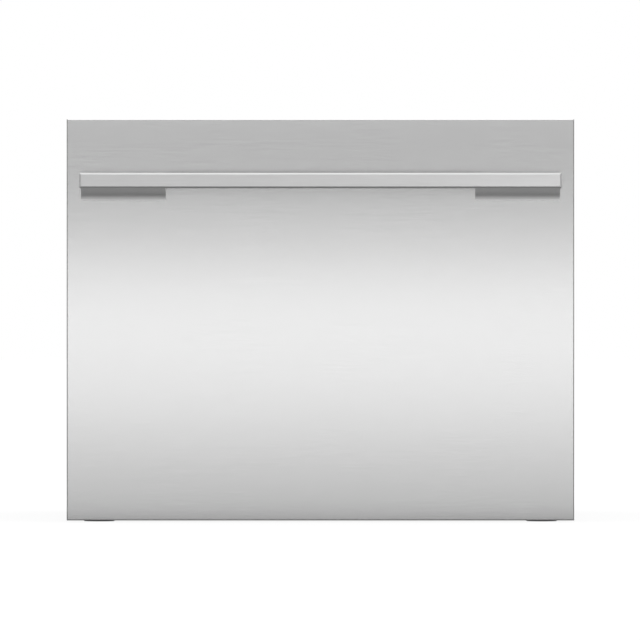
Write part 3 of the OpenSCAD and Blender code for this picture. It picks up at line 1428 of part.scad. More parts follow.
// A vented cover with the circuit board on four posts inside it
module power_module() color("dimgray") in_frame() translate([module_x, rear_y - cab_sheet, module_z]) {
  difference() {
    block([0, -module_d, 0], [module_w, 0, module_h]);
    block(
      [module_wall, -module_d + module_wall, module_wall],
      [module_w - module_wall, -module_wall, module_h - module_wall]
    );
    for (n = [0:7]) translate([12 + n * 16, -module_d - cut, 14])
      cube([8, module_wall + 2 * cut, module_h - 28]);
  }
  block([6, board_y, 6], [module_w - 6, board_y + board_t, module_h - 6]);
  for (x = [12, module_w - 12], z = [12, module_h - 12])
    rod_y(board_y + board_t / 2, -module_wall / 2, x, z, 3);
}

// ---- Folding link that carries the hoses under the tub ----

link_a0 = asin(link_d0 / 2 / link_len);
link_a1 = asin((link_d0 + drawer_travel) / 2 / link_len);
elbow_x = link_x - link_len * cos(link_a0);
elbow_y = (link_a_y + link_b_y) / 2;
hub_r = link_pin_r + 8;
slot_len = 15;
slot_half = link_pin_r + 1.8;
slot_turn = (link_a1 - link_a0) / 2;
link_floor_t = 1.5;
elbow_pin_r = 4;

// An arm drawn along +x from its first pivot, as a channel with a hub at each end
module arm(z, len) {
  translate([0, 0, z]) difference() {
    union() {
      translate([0, -link_w / 2, 0]) cube([len, link_w, link_t]);
      cylinder(r = hub_r, h = link_t);
      translate([len, 0, 0]) cylinder(r = hub_r, h = link_t);
    }
    translate([hub_r + 2, -link_w / 2 + 2, link_floor_t]) cube([len - 2 * hub_r - 4, link_w - 4, link_t]);
  }
}

// The frame of the rear arm: its first axis runs from the fixed pivot to the elbow
module at_rear_arm() in_frame() translate([link_x, link_a_y, 0]) rotate(180 + link_a0) children();
// The frame of the front arm: its first axis runs from the elbow to the drawer's pin
module at_front_arm() in_frame() translate([elbow_x, elbow_y, 0]) rotate(-link_a0) children();

module rear_link_arm() color("darkslategray") at_rear_arm() {
  difference() {
    arm(link_z0, link_len);
    rod_z(link_z0 - cut, link_z1, 0, 0, link_pin_r + slip);
  }
  rod_z(link_z0 + link_t / 2, link_z1 + link_t - touch, link_len, 0, elbow_pin_r);
}

module front_link_arm() color("darkslategray") at_front_arm() difference() {
  union() {
    arm(link_z1, link_len);
    rod_z(link_z1, link_z1 + link_t, link_len, 8, hub_r);
    translate([link_len - 2, 0, link_z1]) cube([14, 18, link_t]);
  }
  rod_z(link_z1 - cut, link_z1 + link_t + cut, 0, 0, elbow_pin_r + slip);
  translate([link_len, 0, link_z1 - cut]) rotate(link_a0 + slot_turn) linear_extrude(link_t + 2 * cut) {
    circle(slot_half);
    translate([0, slot_len]) circle(slot_half);
    translate([-slot_half, 0]) square([2 * slot_half, slot_len]);
  }
}

hose_r = 3.6;
hose_dy = 6;
hose_end = hub_r + 6;

// Drain hose and water hose side by side in an arm's channel
module arm_hoses(z) for (s = [-1, 1])
  rod_x(hose_end, link_len - hose_end, s * hose_dy, z + link_floor_t + hose_r + slip, hose_r);

module rear_link_hoses() color("gray") at_rear_arm() arm_hoses(link_z0);
module front_link_hoses() color("gray") at_front_arm() arm_hoses(link_z1);

front_panel();
sound_pad();
handle_bar();
handle_posts();
drawer_screws();
front_frame();
control_fascia();
power_button();
program_button();
start_button();
tub();
sump();
motor_stator();
wash_rotor();
heater_plate();
filter_plate();
drain_filter();
spray_arm();
basket();
plate_tines();
basket_clips();
left_fold_tines();
right_fold_tines();
left_cup_rack();
right_cup_rack();
cutlery_basket();
dispenser();
dispenser_flap();
rinse_aid_cap();
fan_housing();
fan_rotor();
inner_rails();
left_middle_rail();
right_middle_rail();
outer_ball_cages();
inner_ball_cages();
outer_rails();
cabinet_wrapper();
rear_panel();
base_tray();
front_gasket();
cabinet_screws();
front_left_foot();
front_right_foot();
rear_left_foot();
rear_right_foot();
lid_panel();
lid_seal();
lift_racks();
left_lift_pinion();
right_lift_pinion();
lift_guides();
lift_motors();
service_pocket();
inlet_valve();
power_module();
rear_link_arm();
front_link_arm();
rear_link_hoses();
front_link_hoses();
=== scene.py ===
"""Looks of a built-in dishwasher drawer: finishes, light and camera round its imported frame."""
import json
import math

import bpy
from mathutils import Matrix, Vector


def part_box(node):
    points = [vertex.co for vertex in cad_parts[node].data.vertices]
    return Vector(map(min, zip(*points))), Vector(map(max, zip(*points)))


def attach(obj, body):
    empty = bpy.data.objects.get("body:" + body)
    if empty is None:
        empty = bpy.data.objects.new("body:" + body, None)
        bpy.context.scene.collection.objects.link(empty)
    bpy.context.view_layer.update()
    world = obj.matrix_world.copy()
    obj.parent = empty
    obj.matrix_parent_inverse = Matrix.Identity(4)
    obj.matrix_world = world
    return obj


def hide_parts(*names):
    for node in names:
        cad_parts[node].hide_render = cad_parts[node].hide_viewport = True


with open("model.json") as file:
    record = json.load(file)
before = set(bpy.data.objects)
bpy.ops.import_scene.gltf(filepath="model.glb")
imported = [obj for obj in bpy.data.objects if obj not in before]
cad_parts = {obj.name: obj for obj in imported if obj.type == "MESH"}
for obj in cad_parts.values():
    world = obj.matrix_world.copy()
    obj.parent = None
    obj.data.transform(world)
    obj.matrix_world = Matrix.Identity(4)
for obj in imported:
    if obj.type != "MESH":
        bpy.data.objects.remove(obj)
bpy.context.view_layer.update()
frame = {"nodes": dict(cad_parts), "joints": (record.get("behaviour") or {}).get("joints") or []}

MM = 0.001
NEVER_SOFTENED = (
    "front_panel", "handle_bar", "handle_posts", "basket", "plate_tines", "left_fold_tines",
    "right_fold_tines", "outer_ball_cages", "inner_ball_cages", "heater_plate")
SOCKET_KINDS = {"Color": "NodeSocketColor", "Value": "NodeSocketFloat", "Vector": "NodeSocketVector"}
WHITE = (1.0, 1.0, 1.0, 1.0)
CORNERS = ((-1, -1), (1, -1), (1, 1), (-1, 1))


# Shader node helpers

def add_node(tree, kind, inputs=None, **settings):
    """Adds a node, sets its settings, and fills its inputs with values or links."""
    made = tree.nodes.new(kind)
    for name, value in settings.items():
        setattr(made, name, value)
    for name, value in (inputs or {}).items():
        if isinstance(value, bpy.types.NodeSocket):
            tree.links.new(value, made.inputs[name])
        else:
            made.inputs[name].default_value = value
    return made


def new_group(name, inputs, outputs):
    """Makes an empty shader group. Inputs are {name: (kind, value)}, outputs {name: kind}."""
    tree = bpy.data.node_groups.new(name, "ShaderNodeTree")
    for label, (kind, value) in inputs.items():
        socket = tree.interface.new_socket(label, in_out="INPUT", socket_type=SOCKET_KINDS[kind])
        socket.default_value = value
    for label, kind in outputs.items():
        tree.interface.new_socket(label, in_out="OUTPUT", socket_type=SOCKET_KINDS[kind])
    return tree, tree.nodes.new("NodeGroupInput"), tree.nodes.new("NodeGroupOutput")


def result_of(tree, operation, first, second):
    """The result of a Math node."""
    return add_node(tree, "ShaderNodeMath", {0: first, 1: second}, operation=operation).outputs[0]


def vector_of(tree, operation, first, second):
    """The vector that a Vector Math node gives."""
    made = add_node(tree, "ShaderNodeVectorMath", {0: first, 1: second}, operation=operation)
    return made.outputs["Vector"]


def ramp_of(tree, value, start, end, low, high, interpolation="LINEAR"):
    """Turns a value from start to end into one from low to high."""
    made = add_node(tree, "ShaderNodeMapRange",
                    {"Value": value, "From Min": start, "From Max": end, "To Min": low, "To Max": high},
                    interpolation_type=interpolation)
    return made.outputs["Result"]


def noise_of(tree, place, scale, detail, roughness=0.5):
    """A noise texture at a place."""
    return add_node(tree, "ShaderNodeTexNoise",
                    {"Vector": place, "Scale": scale, "Detail": detail, "Roughness": roughness})


def varied(tree, value, centre, amount):
    """A factor near one that follows a value round its centre."""
    return result_of(tree, "ADD", result_of(
        tree, "MULTIPLY", result_of(tree, "SUBTRACT", value, centre), amount), 1.0)


def bumped(tree, height, strength):
    """The normal of a fine relief, 0.2 mm deep at full strength."""
    made = add_node(tree, "ShaderNodeBump", {"Height": height, "Strength": strength, "Distance": 0.2 * MM})
    return made.outputs["Normal"]


# Effects that several finishes share

def make_brushed_grain():
    """Fine straight scratches with broader ones among them. Stretch scales the noise along X, Y and Z."""
    wider = (5.0, 0.33, 0.33)
    tree, given, out = new_group(
        "brushed grain",
        {"Stretch": ("Vector", (8.0, 1600.0, 1600.0)), "Contrast": ("Value", 0.03)},
        {"Streak": "Value", "Normal": "Vector"})
    place = add_node(tree, "ShaderNodeTexCoord").outputs["Object"]
    along = vector_of(tree, "MULTIPLY", place, given.outputs["Stretch"])
    broad = vector_of(tree, "MULTIPLY", along, wider)
    fine = noise_of(tree, along, 1.0, 3.0, 0.65).outputs["Fac"]
    coarse = noise_of(tree, broad, 1.0, 2.0).outputs["Fac"]
    streak = varied(tree, result_of(tree, "ADD", fine, coarse), 1.0, given.outputs["Contrast"])
    tree.links.new(streak, out.inputs["Streak"])
    tree.links.new(bumped(tree, fine, 0.02), out.inputs["Normal"])
    return tree


def make_moulded_skin():
    """The spark-eroded skin of moulded plastic, with a faint unevenness of the resin."""
    tree, given, out = new_group(
        "moulded skin",
        {"Colour": ("Color", (0.5, 0.5, 0.5, 1.0)), "Grain Scale": ("Value", 1400.0),
         "Grain Depth": ("Value", 0.12), "Mottle": ("Value", 0.05),
         "Gloss Low": ("Value", 0.38), "Gloss High": ("Value", 0.55)},
        {"Colour": "Color", "Roughness": "Value", "Normal": "Vector"})
    place = add_node(tree, "ShaderNodeTexCoord").outputs["Object"]
    grain = noise_of(tree, place, given.outputs["Grain Scale"], 2.0, 0.6).outputs["Fac"]
    cloud = noise_of(tree, place, 22.0, 3.0, 0.55).outputs["Fac"]
    shade = varied(tree, cloud, 0.5, given.outputs["Mottle"])
    gloss = ramp_of(tree, cloud, 0.3, 0.7, given.outputs["Gloss Low"], given.outputs["Gloss High"])
    tree.links.new(vector_of(tree, "MULTIPLY", given.outputs["Colour"], shade), out.inputs["Colour"])
    tree.links.new(gloss, out.inputs["Roughness"])
    tree.links.new(bumped(tree, grain, given.outputs["Grain Depth"]), out.inputs["Normal"])
    return tree


def make_zinc_spangle():
    """Crystal patches of a zinc coat: each cell has its own tone and gloss."""
    tree, given, out = new_group(
        "zinc spangle",
        {"Colour": ("Color", (0.6, 0.62, 0.64, 1.0)), "Cell Scale": ("Value", 110.0),
         "Contrast": ("Value", 0.2), "Gloss Low": ("Value", 0.34), "Gloss High": ("Value", 0.52)},
        {"Colour": "Color", "Roughness": "Value", "Normal": "Vector"})
    place = add_node(tree, "ShaderNodeTexCoord").outputs["Object"]
    bend = noise_of(tree, place, 60.0, 2.0).outputs["Color"]
    moved = vector_of(tree, "ADD", place, vector_of(tree, "MULTIPLY", bend, (0.012, 0.012, 0.012)))
    cell = add_node(tree, "ShaderNodeTexVoronoi",
                    {"Vector": moved, "Scale": given.outputs["Cell Scale"], "Randomness": 1.0})
    tone = add_node(tree, "ShaderNodeSeparateColor", {"Color": cell.outputs["Color"]})
    shade = varied(tree, tone.outputs["Red"], 0.5, given.outputs["Contrast"])
    gloss = ramp_of(tree, tone.outputs["Green"], 0.0, 1.0,
                    given.outputs["Gloss Low"], given.outputs["Gloss High"])
    fine = noise_of(tree, place, 900.0, 2.0).outputs["Fac"]
    tree.links.new(vector_of(tree, "MULTIPLY", given.outputs["Colour"], shade), out.inputs["Colour"])
    tree.links.new(gloss, out.inputs["Roughness"])
    tree.links.new(bumped(tree, fine, 0.04), out.inputs["Normal"])
    return tree


BRUSHED_GRAIN = make_brushed_grain()
MOULDED_SKIN = make_moulded_skin()
ZINC_SPANGLE = make_zinc_spangle()


# Materials

def new_material(name, plain):
    """A material with its Principled BSDF; plain holds the values that are the same all over."""
    made = bpy.data.materials.new(name)
    made.use_nodes = True
    shader = made.node_tree.nodes["Principled BSDF"]
    for label, value in plain.items():
        shader.inputs[label].default_value = value
    return made, made.node_tree, shader


def place_group(tree, group, values):
    """Places a shared group in a material with the material's own values."""
    made = tree.nodes.new("ShaderNodeGroup")
    made.node_tree = group
    for label, value in values.items():
        made.inputs[label].default_value = value
    return made


def coat_with(tree, effect, shader):
    """Joins a group's colour, roughness and normal to a material's shader."""
    tree.links.new(effect.outputs["Colour"], shader.inputs["Base Color"])
    tree.links.new(effect.outputs["Roughness"], shader.inputs["Roughness"])
    tree.links.new(effect.outputs["Normal"], shader.inputs["Normal"])


def brushed_steel(name, colour, gloss, stretch, contrast, anisotropy, turn):
    """Stainless steel ground in one direction. The shine spreads across the scratches."""
    made, tree, shader = new_material(
        name, {"Metallic": 1.0, "Anisotropic": anisotropy, "Anisotropic Rotation": turn})
    grain = place_group(tree, BRUSHED_GRAIN, {"Stretch": stretch, "Contrast": contrast})
    streak = grain.outputs["Streak"]
    tree.links.new(vector_of(tree, "MULTIPLY", colour, streak), shader.inputs["Base Color"])
    tree.links.new(result_of(tree, "MULTIPLY", streak, gloss), shader.inputs["Roughness"])
    tree.links.new(grain.outputs["Normal"], shader.inputs["Normal"])
    return made


def moulded_plastic(name, colour, grain_depth=0.12, gloss=(0.38, 0.55), mottle=0.05, grain_scale=1400.0):
    """Injection-moulded plastic."""
    made, tree, shader = new_material(name, {"IOR": 1.49})
    skin = place_group(tree, MOULDED_SKIN, {
        "Colour": (*colour, 1.0), "Grain Scale": grain_scale, "Grain Depth": grain_depth,
        "Mottle": mottle, "Gloss Low": gloss[0], "Gloss High": gloss[1]})
    coat_with(tree, skin, shader)
    return made


def zinc_coat(name, colour, cell_scale, contrast, gloss):
    """Zinc-coated steel sheet or plated steel."""
    made, tree, shader = new_material(name, {"Metallic": 1.0})
    coat = place_group(tree, ZINC_SPANGLE, {
        "Colour": (*colour, 1.0), "Cell Scale": cell_scale, "Contrast": contrast,
        "Gloss Low": gloss[0], "Gloss High": gloss[1]})
    coat_with(tree, coat, shader)
    return made


PANEL_TONE = (0.74, 0.74, 0.74)
BAR_TONE = (0.61, 0.61, 0.61)
POST_TONE = (0.66, 0.66, 0.66)
PLATE_TONE = (0.7, 0.7, 0.69)
ALONG_X = (8.0, 1600.0, 1600.0)
SHORT_GRAIN = (60.0, 900.0, 900.0)
SMOOTH_GLOSS = (0.22, 0.34)

FINISH = {
    "panel steel": brushed_steel("panel steel", PANEL_TONE, 0.15, ALONG_X, 0.08, 0.7, 0.25),
    "bar steel": brushed_steel("bar steel", BAR_TONE, 0.35, ALONG_X, 0.08, 0.6, 0.0),
    "post steel": brushed_steel("post steel", POST_TONE, 0.45, ALONG_X, 0.03, 0.0, 0.0),
    "satin steel": brushed_steel("satin steel", PLATE_TONE, 0.34, SHORT_GRAIN, 0.1, 0.3, 0.0),
    "galvanised sheet": zinc_coat("galvanised sheet", (0.6, 0.615, 0.63), 130.0, 0.1, (0.38, 0.5)),
    "zinc plate": zinc_coat("zinc plate", (0.64, 0.65, 0.66), 700.0, 0.08, (0.28, 0.4)),
    "tub plastic": moulded_plastic("tub plastic", (0.55, 0.56, 0.57)),
    "frame plastic": moulded_plastic("frame plastic", (0.72, 0.72, 0.71)),
    "dark plastic": moulded_plastic("dark plastic", (0.035, 0.036, 0.04), 0.2),
    "grey plastic": moulded_plastic("grey plastic", (0.17, 0.175, 0.18)),
    "white plastic": moulded_plastic("white plastic", (0.8, 0.8, 0.78), 0.05, SMOOTH_GLOSS),
    "blue plastic": moulded_plastic("blue plastic", (0.03, 0.12, 0.36), 0.05, SMOOTH_GLOSS),
    "acetal": moulded_plastic("acetal", (0.82, 0.77, 0.6), 0.04, (0.3, 0.4)),
    "wire coat": moulded_plastic("wire coat", (0.2, 0.21, 0.225), 0.05, (0.3, 0.42), 0.06, 500.0),
    "seal rubber": moulded_plastic("seal rubber", (0.018, 0.018, 0.02), 0.15, (0.5, 0.7)),
    "bitumen pad": moulded_plastic("bitumen pad", (0.03, 0.03, 0.032), 0.5, (0.6, 0.8), 0.1, 300.0),
    "display glass": moulded_plastic("display glass", (0.012, 0.013, 0.016), 0.01, (0.05, 0.1), 0.1),
    "copper wire": zinc_coat("copper wire", (0.78, 0.36, 0.18), 900.0, 0.2, (0.25, 0.35)),
}

FINISH_OF_NODE = {
    "panel steel": ["front_panel"],
    "bar steel": ["handle_bar"],
    "post steel": ["handle_posts"],
    "satin steel": ["heater_plate", "filter_plate", "outer_ball_cages", "inner_ball_cages"],
    "galvanised sheet": ["cabinet_wrapper", "rear_panel"],
    "zinc plate": ["drawer_screws", "cabinet_screws", "inner_rails", "left_middle_rail",
                   "right_middle_rail", "outer_rails", "lift_motors"],
    "tub plastic": ["tub", "lid_panel"],
    "frame plastic": ["front_frame", "dispenser"],
    "dark plastic": ["control_fascia", "sump", "wash_rotor", "fan_housing", "fan_rotor", "base_tray",
                     "front_left_foot", "front_right_foot", "rear_left_foot", "rear_right_foot",
                     "lift_guides", "service_pocket", "power_module", "rear_link_arm", "front_link_arm"],
    "grey plastic": ["drain_filter", "spray_arm", "basket_clips", "left_cup_rack", "right_cup_rack",
                     "cutlery_basket"],
    "white plastic": ["power_button", "program_button", "start_button", "dispenser_flap",
                      "lift_racks", "inlet_valve"],
    "blue plastic": ["rinse_aid_cap"],
    "acetal": ["left_lift_pinion", "right_lift_pinion"],
    "wire coat": ["basket", "plate_tines", "left_fold_tines", "right_fold_tines"],
    "seal rubber": ["front_gasket", "lid_seal", "rear_link_hoses", "front_link_hoses"],
    "bitumen pad": ["sound_pad"],
    "copper wire": ["motor_stator"],
}


def dress(node, finish):
    """Gives a CAD node its finish."""
    mesh = frame["nodes"][node].data
    mesh.materials.clear()
    mesh.materials.append(FINISH[finish])


for finish, nodes in FINISH_OF_NODE.items():
    for node in nodes:
        dress(node, finish)


# Soft edges of the CAD solids

def make_weld_tree():
    """Joins the split vertices of a CAD mesh and marks its real edges as sharp."""
    weld, crease = 0.002 * MM, math.radians(32)
    tree = bpy.data.node_groups.new("weld cad mesh", "GeometryNodeTree")
    tree.interface.new_socket("Geometry", in_out="INPUT", socket_type="NodeSocketGeometry")
    tree.interface.new_socket("Geometry", in_out="OUTPUT", socket_type="NodeSocketGeometry")
    given, out = tree.nodes.new("NodeGroupInput"), tree.nodes.new("NodeGroupOutput")
    bare = add_node(tree, "GeometryNodeRemoveAttribute",
                    {"Geometry": given.outputs[0], "Name": "custom_normal"})
    joined = add_node(tree, "GeometryNodeMergeByDistance", {"Geometry": bare.outputs[0], "Distance": weld})
    smooth = add_node(tree, "GeometryNodeSetShadeSmooth", {"Geometry": joined.outputs[0]}, domain="FACE")
    angle = add_node(tree, "GeometryNodeInputMeshEdgeAngle")
    sharp = add_node(tree, "FunctionNodeCompare", {"A": angle.outputs["Unsigned Angle"], "B": crease},
                     data_type="FLOAT", operation="GREATER_THAN")
    marked = add_node(tree, "GeometryNodeSetShadeSmooth", {
        "Geometry": smooth.outputs[0], "Selection": sharp.outputs["Result"], "Shade Smooth": False},
        domain="EDGE")
    tree.links.new(marked.outputs[0], out.inputs[0])
    return tree


def soften(node, weld_tree, width):
    """Rounds a CAD node's edges a little, as bent sheet and moulded parts have them."""
    part = frame["nodes"][node]
    part.modifiers.new("weld", "NODES").node_group = weld_tree
    flat = part.modifiers.new("flat faces", "DECIMATE")
    flat.decimate_type = "DISSOLVE"
    flat.angle_limit = math.radians(0.5)
    edge = part.modifiers.new("soft edges", "BEVEL")
    edge.width = width
    edge.segments = 2
    edge.limit_method = "ANGLE"
    edge.angle_limit = math.radians(35)
    edge.use_clamp_overlap = False


WELD_TREE = make_weld_tree()
for node in frame["nodes"]:
    if node not in NEVER_SOFTENED:
        soften(node, WELD_TREE, 0.4 * MM)


# Mesh helpers

def rings_of(verts, sides, loop=False):
    """Faces between rings of vertices. A loop joins the last ring to the first; otherwise both ends close."""
    faces = []
    count = len(verts) // sides
    for i in range(count if loop else count - 1):
        j = (i + 1) % count
        for k in range(sides):
            m = (k + 1) % sides
            faces.append((i * sides + k, i * sides + m, j * sides + m, j * sides + k))
    if not loop:
        faces.append(tuple(range(sides - 1, -1, -1)))
        faces.append(tuple((count - 1) * sides + k for k in range(sides)))
    return verts, faces


def wire(path, radius, sides=10, loop=False):
    """A round wire or hose along a path. radius is one value, or one for each point."""
    points = [Vector(p) for p in path]
    widths = radius if isinstance(radius, list) else [radius] * len(points)
    ahead = (points[1] - points[0]).normalized()
    side = ahead.orthogonal().normalized()
    verts = []
    for i, point in enumerate(points):
        before = points[i - 1] if i or loop else point
        after = points[(i + 1) % len(points)] if loop or i < len(points) - 1 else point
        heading = (after - before).normalized()
        side = (ahead.rotation_difference(heading) @ side).normalized()
        ahead = heading
        up = ahead.cross(side)
        for k in range(sides):
            turn = 2 * math.pi * k / sides
            verts.append(point + widths[i] * (math.cos(turn) * side + math.sin(turn) * up))
    return rings_of(verts, sides, loop)


def bent(corners, bend, loop=False):
    """A path through the corners with each one rounded, as wire bends round a pin."""
    steps = 6
    corners = [Vector(c) for c in corners]
    if loop:
        trios = list(zip(corners[-1:] + corners[:-1], corners, corners[1:] + corners[:1]))
    else:
        trios = list(zip(corners, corners[1:], corners[2:]))
    path = [] if loop else [corners[0]]
    for before, corner, after in trios:
        back, on = (before - corner).normalized(), (after - corner).normalized()
        half = back.angle(on) / 2
        centre = corner + (back + on).normalized() * bend / math.sin(half)
        start = (corner + back * bend / math.tan(half) - centre).normalized()
        end = (corner + on * bend / math.tan(half) - centre).normalized()
        path += [centre + bend * start.slerp(end, s / steps).normalized() for s in range(steps + 1)]
    return path if loop else path + [corners[-1]]


def turned(centre, along, profile, sides=40, loop=False, thread=None):
    """A turned shape. profile runs (distance along, radius); thread is (start, end, pitch, depth)."""
    centre, along = Vector(centre), Vector(along).normalized()
    side = along.orthogonal().normalized()
    up = along.cross(side)
    outer_points = profile.index(max(profile)) + 1
    verts = []
    for n, (distance, radius) in enumerate(profile):
        for k in range(sides):
            turn = 2 * math.pi * k / sides
            width = radius
            if thread and thread[0] <= distance <= thread[1] and n < outer_points:
                start, end, pitch, depth = thread
                fade = min(1.0, (distance - start) / pitch, (end - distance) / pitch)
                wave = 0.5 - 0.5 * math.cos(2 * math.pi * (distance / pitch - k / sides))
                width = radius - depth * (1.0 - wave * max(fade, 0.0))
            verts.append(centre + distance * along + width * (math.cos(turn) * side + math.sin(turn) * up))
    return rings_of(verts, sides, loop)


def in_mm(pairs):
    """Turns a profile in millimetres into one in metres."""
    return [(distance * MM, radius * MM) for distance, radius in pairs]


def make_piece(name, parts, finish, body, stands_for=()):
    """One piece from several (vertices, faces) parts, riding on a body."""
    verts, faces = [], []
    for part_verts, part_faces in parts:
        faces += [tuple(v + len(verts) for v in face) for face in part_faces]
        verts += [tuple(v) for v in part_verts]
    mesh = bpy.data.meshes.new(name)
    mesh.from_pydata(verts, [], faces)
    mesh.shade_smooth()
    mesh.set_sharp_from_angle(angle=math.radians(38))
    mesh.materials.append(FINISH[finish])
    piece = bpy.data.objects.new(name, mesh)
    bpy.context.scene.collection.objects.link(piece)
    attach(piece, body)
    if stands_for:
        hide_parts(*stands_for)


# Pieces finer than their CAD solids

def tipped(path, radius):
    """The path and the widths of a wire whose two ends are rounded by its coat."""
    first, last = path[0], path[-1]
    start = (path[1] - first).normalized()
    end = (path[-2] - last).normalized()
    tips = [(0.0, 0.45), (0.13, 0.75), (0.45, 0.95)]
    opening = [first + start * radius * d for d, _ in tips]
    closing = [last + end * radius * d for d, _ in reversed(tips)]
    tip_widths = [radius * w for _, w in tips]
    widths = tip_widths + [radius] * (len(path) - 2) + tip_widths[::-1]
    return opening + list(path[1:-1]) + closing, widths


def make_basket():
    """The basket: bent wires that run down, along the floor and up again, welded to rings and posts."""
    wire_r, post_r, weld_gap = 2 * MM, 3 * MM, 0.05 * MM
    long_wires, long_pitch = 11, 47.8 * MM
    cross_wires, cross_pitch = 14, 32 * MM
    corner_cut, bend, post_over = 24 * MM, 10 * MM, 1 * MM
    low_ring_drop, middle_ring_drop = 0.75, 0.4  # shares of the wires' height
    low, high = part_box("basket")
    middle = (low + high) / 2
    floor_z, top_z = low.z + wire_r, high.z - post_over
    cross_z = floor_z + 2 * wire_r + weld_gap
    rise = top_z - floor_z
    rings = [top_z - low_ring_drop * rise, top_z - middle_ring_drop * rise, top_z - wire_r]
    ring_x, ring_y = high.x - post_r, (high.y - low.y) / 2 - post_r
    side_x, side_y = ring_x - 2 * wire_r - weld_gap, ring_y - 2 * wire_r - weld_gap
    front_y, back_y = middle.y - side_y, middle.y + side_y
    parts = []
    for n in range(long_wires):
        x = middle.x + (n - (long_wires - 1) / 2) * long_pitch
        path = bent([(x, front_y, top_z), (x, front_y, floor_z),
                     (x, back_y, floor_z), (x, back_y, top_z)], bend)
        parts.append(wire(*tipped(path, wire_r)))
    for n in range(cross_wires):
        y = middle.y + (n - (cross_wires - 1) / 2) * cross_pitch
        top = top_z if n % 2 == 0 else rings[0] + wire_r
        path = bent([(-side_x, y, top), (-side_x, y, cross_z), (side_x, y, cross_z), (side_x, y, top)], bend)
        parts.append(wire(*tipped(path, wire_r)))
    for z in rings:
        corners = [(x * ring_x, middle.y + y * ring_y, z) for x, y in CORNERS]
        parts.append(wire(bent(corners, corner_cut + post_r, loop=True), wire_r, loop=True))
    for x, y in CORNERS:
        for post_x, post_y in ((ring_x, ring_y - corner_cut), (ring_x - corner_cut, ring_y)):
            foot = Vector((x * post_x, middle.y + y * post_y, floor_z))
            head = Vector((x * post_x, middle.y + y * post_y, high.z))
            parts.append(wire(*tipped([foot, (foot + head) / 2, head], post_r), sides=12))
    make_piece("welded_basket", parts, "wire coat", "drawer", ["basket"])


def make_hoses(name, node, body, pivot, angle):
    """The drain hose, ribbed, and the water hose, smooth, side by side in a link arm's channel."""
    start, end, cuff, apart = 18 * MM, 432 * MM, 14 * MM, 6 * MM
    crest_r, groove_r, rib_step = 3.6 * MM, 2.9 * MM, 0.8 * MM
    cuff_r, cuff_edge = 0.9 * crest_r, 0.4 * MM
    collar_r, plain_r, mouth_r, collar_edge = 3.6 * MM, 3.2 * MM, 3.3 * MM, 0.3 * MM
    low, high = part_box(node)
    along = Vector((math.cos(angle), math.sin(angle), 0.0))
    across = Vector((-along.y, along.x, 0.0))
    origin = Vector((pivot.x, pivot.y, (low.z + high.z) / 2))
    ribbed = [(start, cuff_r), (start + cuff_edge, crest_r), (start + cuff, crest_r)]
    n = 0
    while start + cuff + n * rib_step < end - cuff:
        ribbed.append((start + cuff + n * rib_step, crest_r if n % 4 in (1, 2) else groove_r))
        n += 1
    ribbed += [(end - cuff, crest_r), (end - cuff_edge, crest_r), (end, cuff_r)]
    plain = [(start, mouth_r), (start + collar_edge, collar_r), (start + cuff, collar_r),
             (start + cuff + collar_edge, plain_r), (end - cuff - collar_edge, plain_r),
             (end - cuff, collar_r), (end - collar_edge, collar_r), (end, mouth_r)]
    parts = [turned(origin - apart * across, along, ribbed, sides=16),
             turned(origin + apart * across, along, plain, sides=20)]
    make_piece(name, parts, "seal rubber", body, [node])


def threaded_port(wall, x, z, flange_r, port_len):
    """The inlet's port from the solenoid's side of the wall to its open end, with a G3/4 thread outside."""
    port_r, bore_r, body_r, mouth_r = 13.2 * MM, 10.2 * MM, 12.2 * MM, 12.0 * MM
    body_back, chamfer, flange_t, flange_edge, bore_back = 20 * MM, 1 * MM, 6 * MM, 0.5 * MM, 4 * MM
    thread_start, lead_out, pitch, thread_depth, points_a_turn = 2.3 * MM, 0.5 * MM, 1.814 * MM, 1 * MM, 8
    profile = [(-body_back, body_r - chamfer), (chamfer - body_back, body_r), (-flange_t, body_r),
               (-flange_t, flange_r - flange_edge), (flange_edge - flange_t, flange_r),
               (-flange_edge, flange_r), (0.0, flange_r - flange_edge), (0.0, body_r), (thread_start, body_r)]
    n = 0
    while thread_start + n * pitch / points_a_turn < port_len - lead_out:
        profile.append((thread_start + n * pitch / points_a_turn, port_r))
        n += 1
    profile += [(port_len, mouth_r), (port_len, bore_r), (-bore_back, bore_r)]
    return turned((x, wall, z), (0, 1, 0), profile, sides=64,
                  thread=(thread_start, port_len, pitch, thread_depth))


def solenoid_coil(x, y, z):
    """The valve's coil: its winding between two cheeks, and the core's nose on top."""
    cheek_r, cheek_t, winding_r, turn_rise, turn_step, turns = 12.0, 1.5, 10.6, 0.25, 0.5, 49
    winding_start, winding_end, nose_r, nose_tip_r, nose_len = -2.5, 22.5, 5.0, 4.5, 2.0
    top = winding_end + cheek_t
    profile = [(winding_start - cheek_t, cheek_r), (winding_start, cheek_r), (winding_start, winding_r)]
    profile += [(winding_start + k * turn_step, winding_r + turn_rise * (k % 2)) for k in range(1, turns + 1)]
    profile += [(winding_end - 0.1, winding_r), (winding_end, cheek_r), (top, cheek_r),
                (top, nose_r), (top + nose_len, nose_tip_r)]
    return turned((x, y, z), (0, 0, 1), in_mm(profile), sides=32)


def hose_tail(x, y, z):
    """The valve's outlet, with three barbs for its hose."""
    stem_r, barb_r, root_r, first_barb, barb_pitch = 4.0, 5.0, 4.2, 12.0, 5.0
    end_barb_len, tip_len, tip_r = 6.0, 2.0, 3.4
    profile = [(0.0, stem_r), (first_barb, stem_r)]
    for n in range(2):
        profile += [(first_barb + n * barb_pitch, barb_r), (first_barb + (n + 1) * barb_pitch, root_r)]
    end_barb = first_barb + 2 * barb_pitch
    profile += [(end_barb, barb_r), (end_barb + end_barb_len, stem_r),
                (end_barb + end_barb_len + tip_len, tip_r)]
    return turned((x, y, z), (-1, 0, 0), in_mm(profile), sides=24)


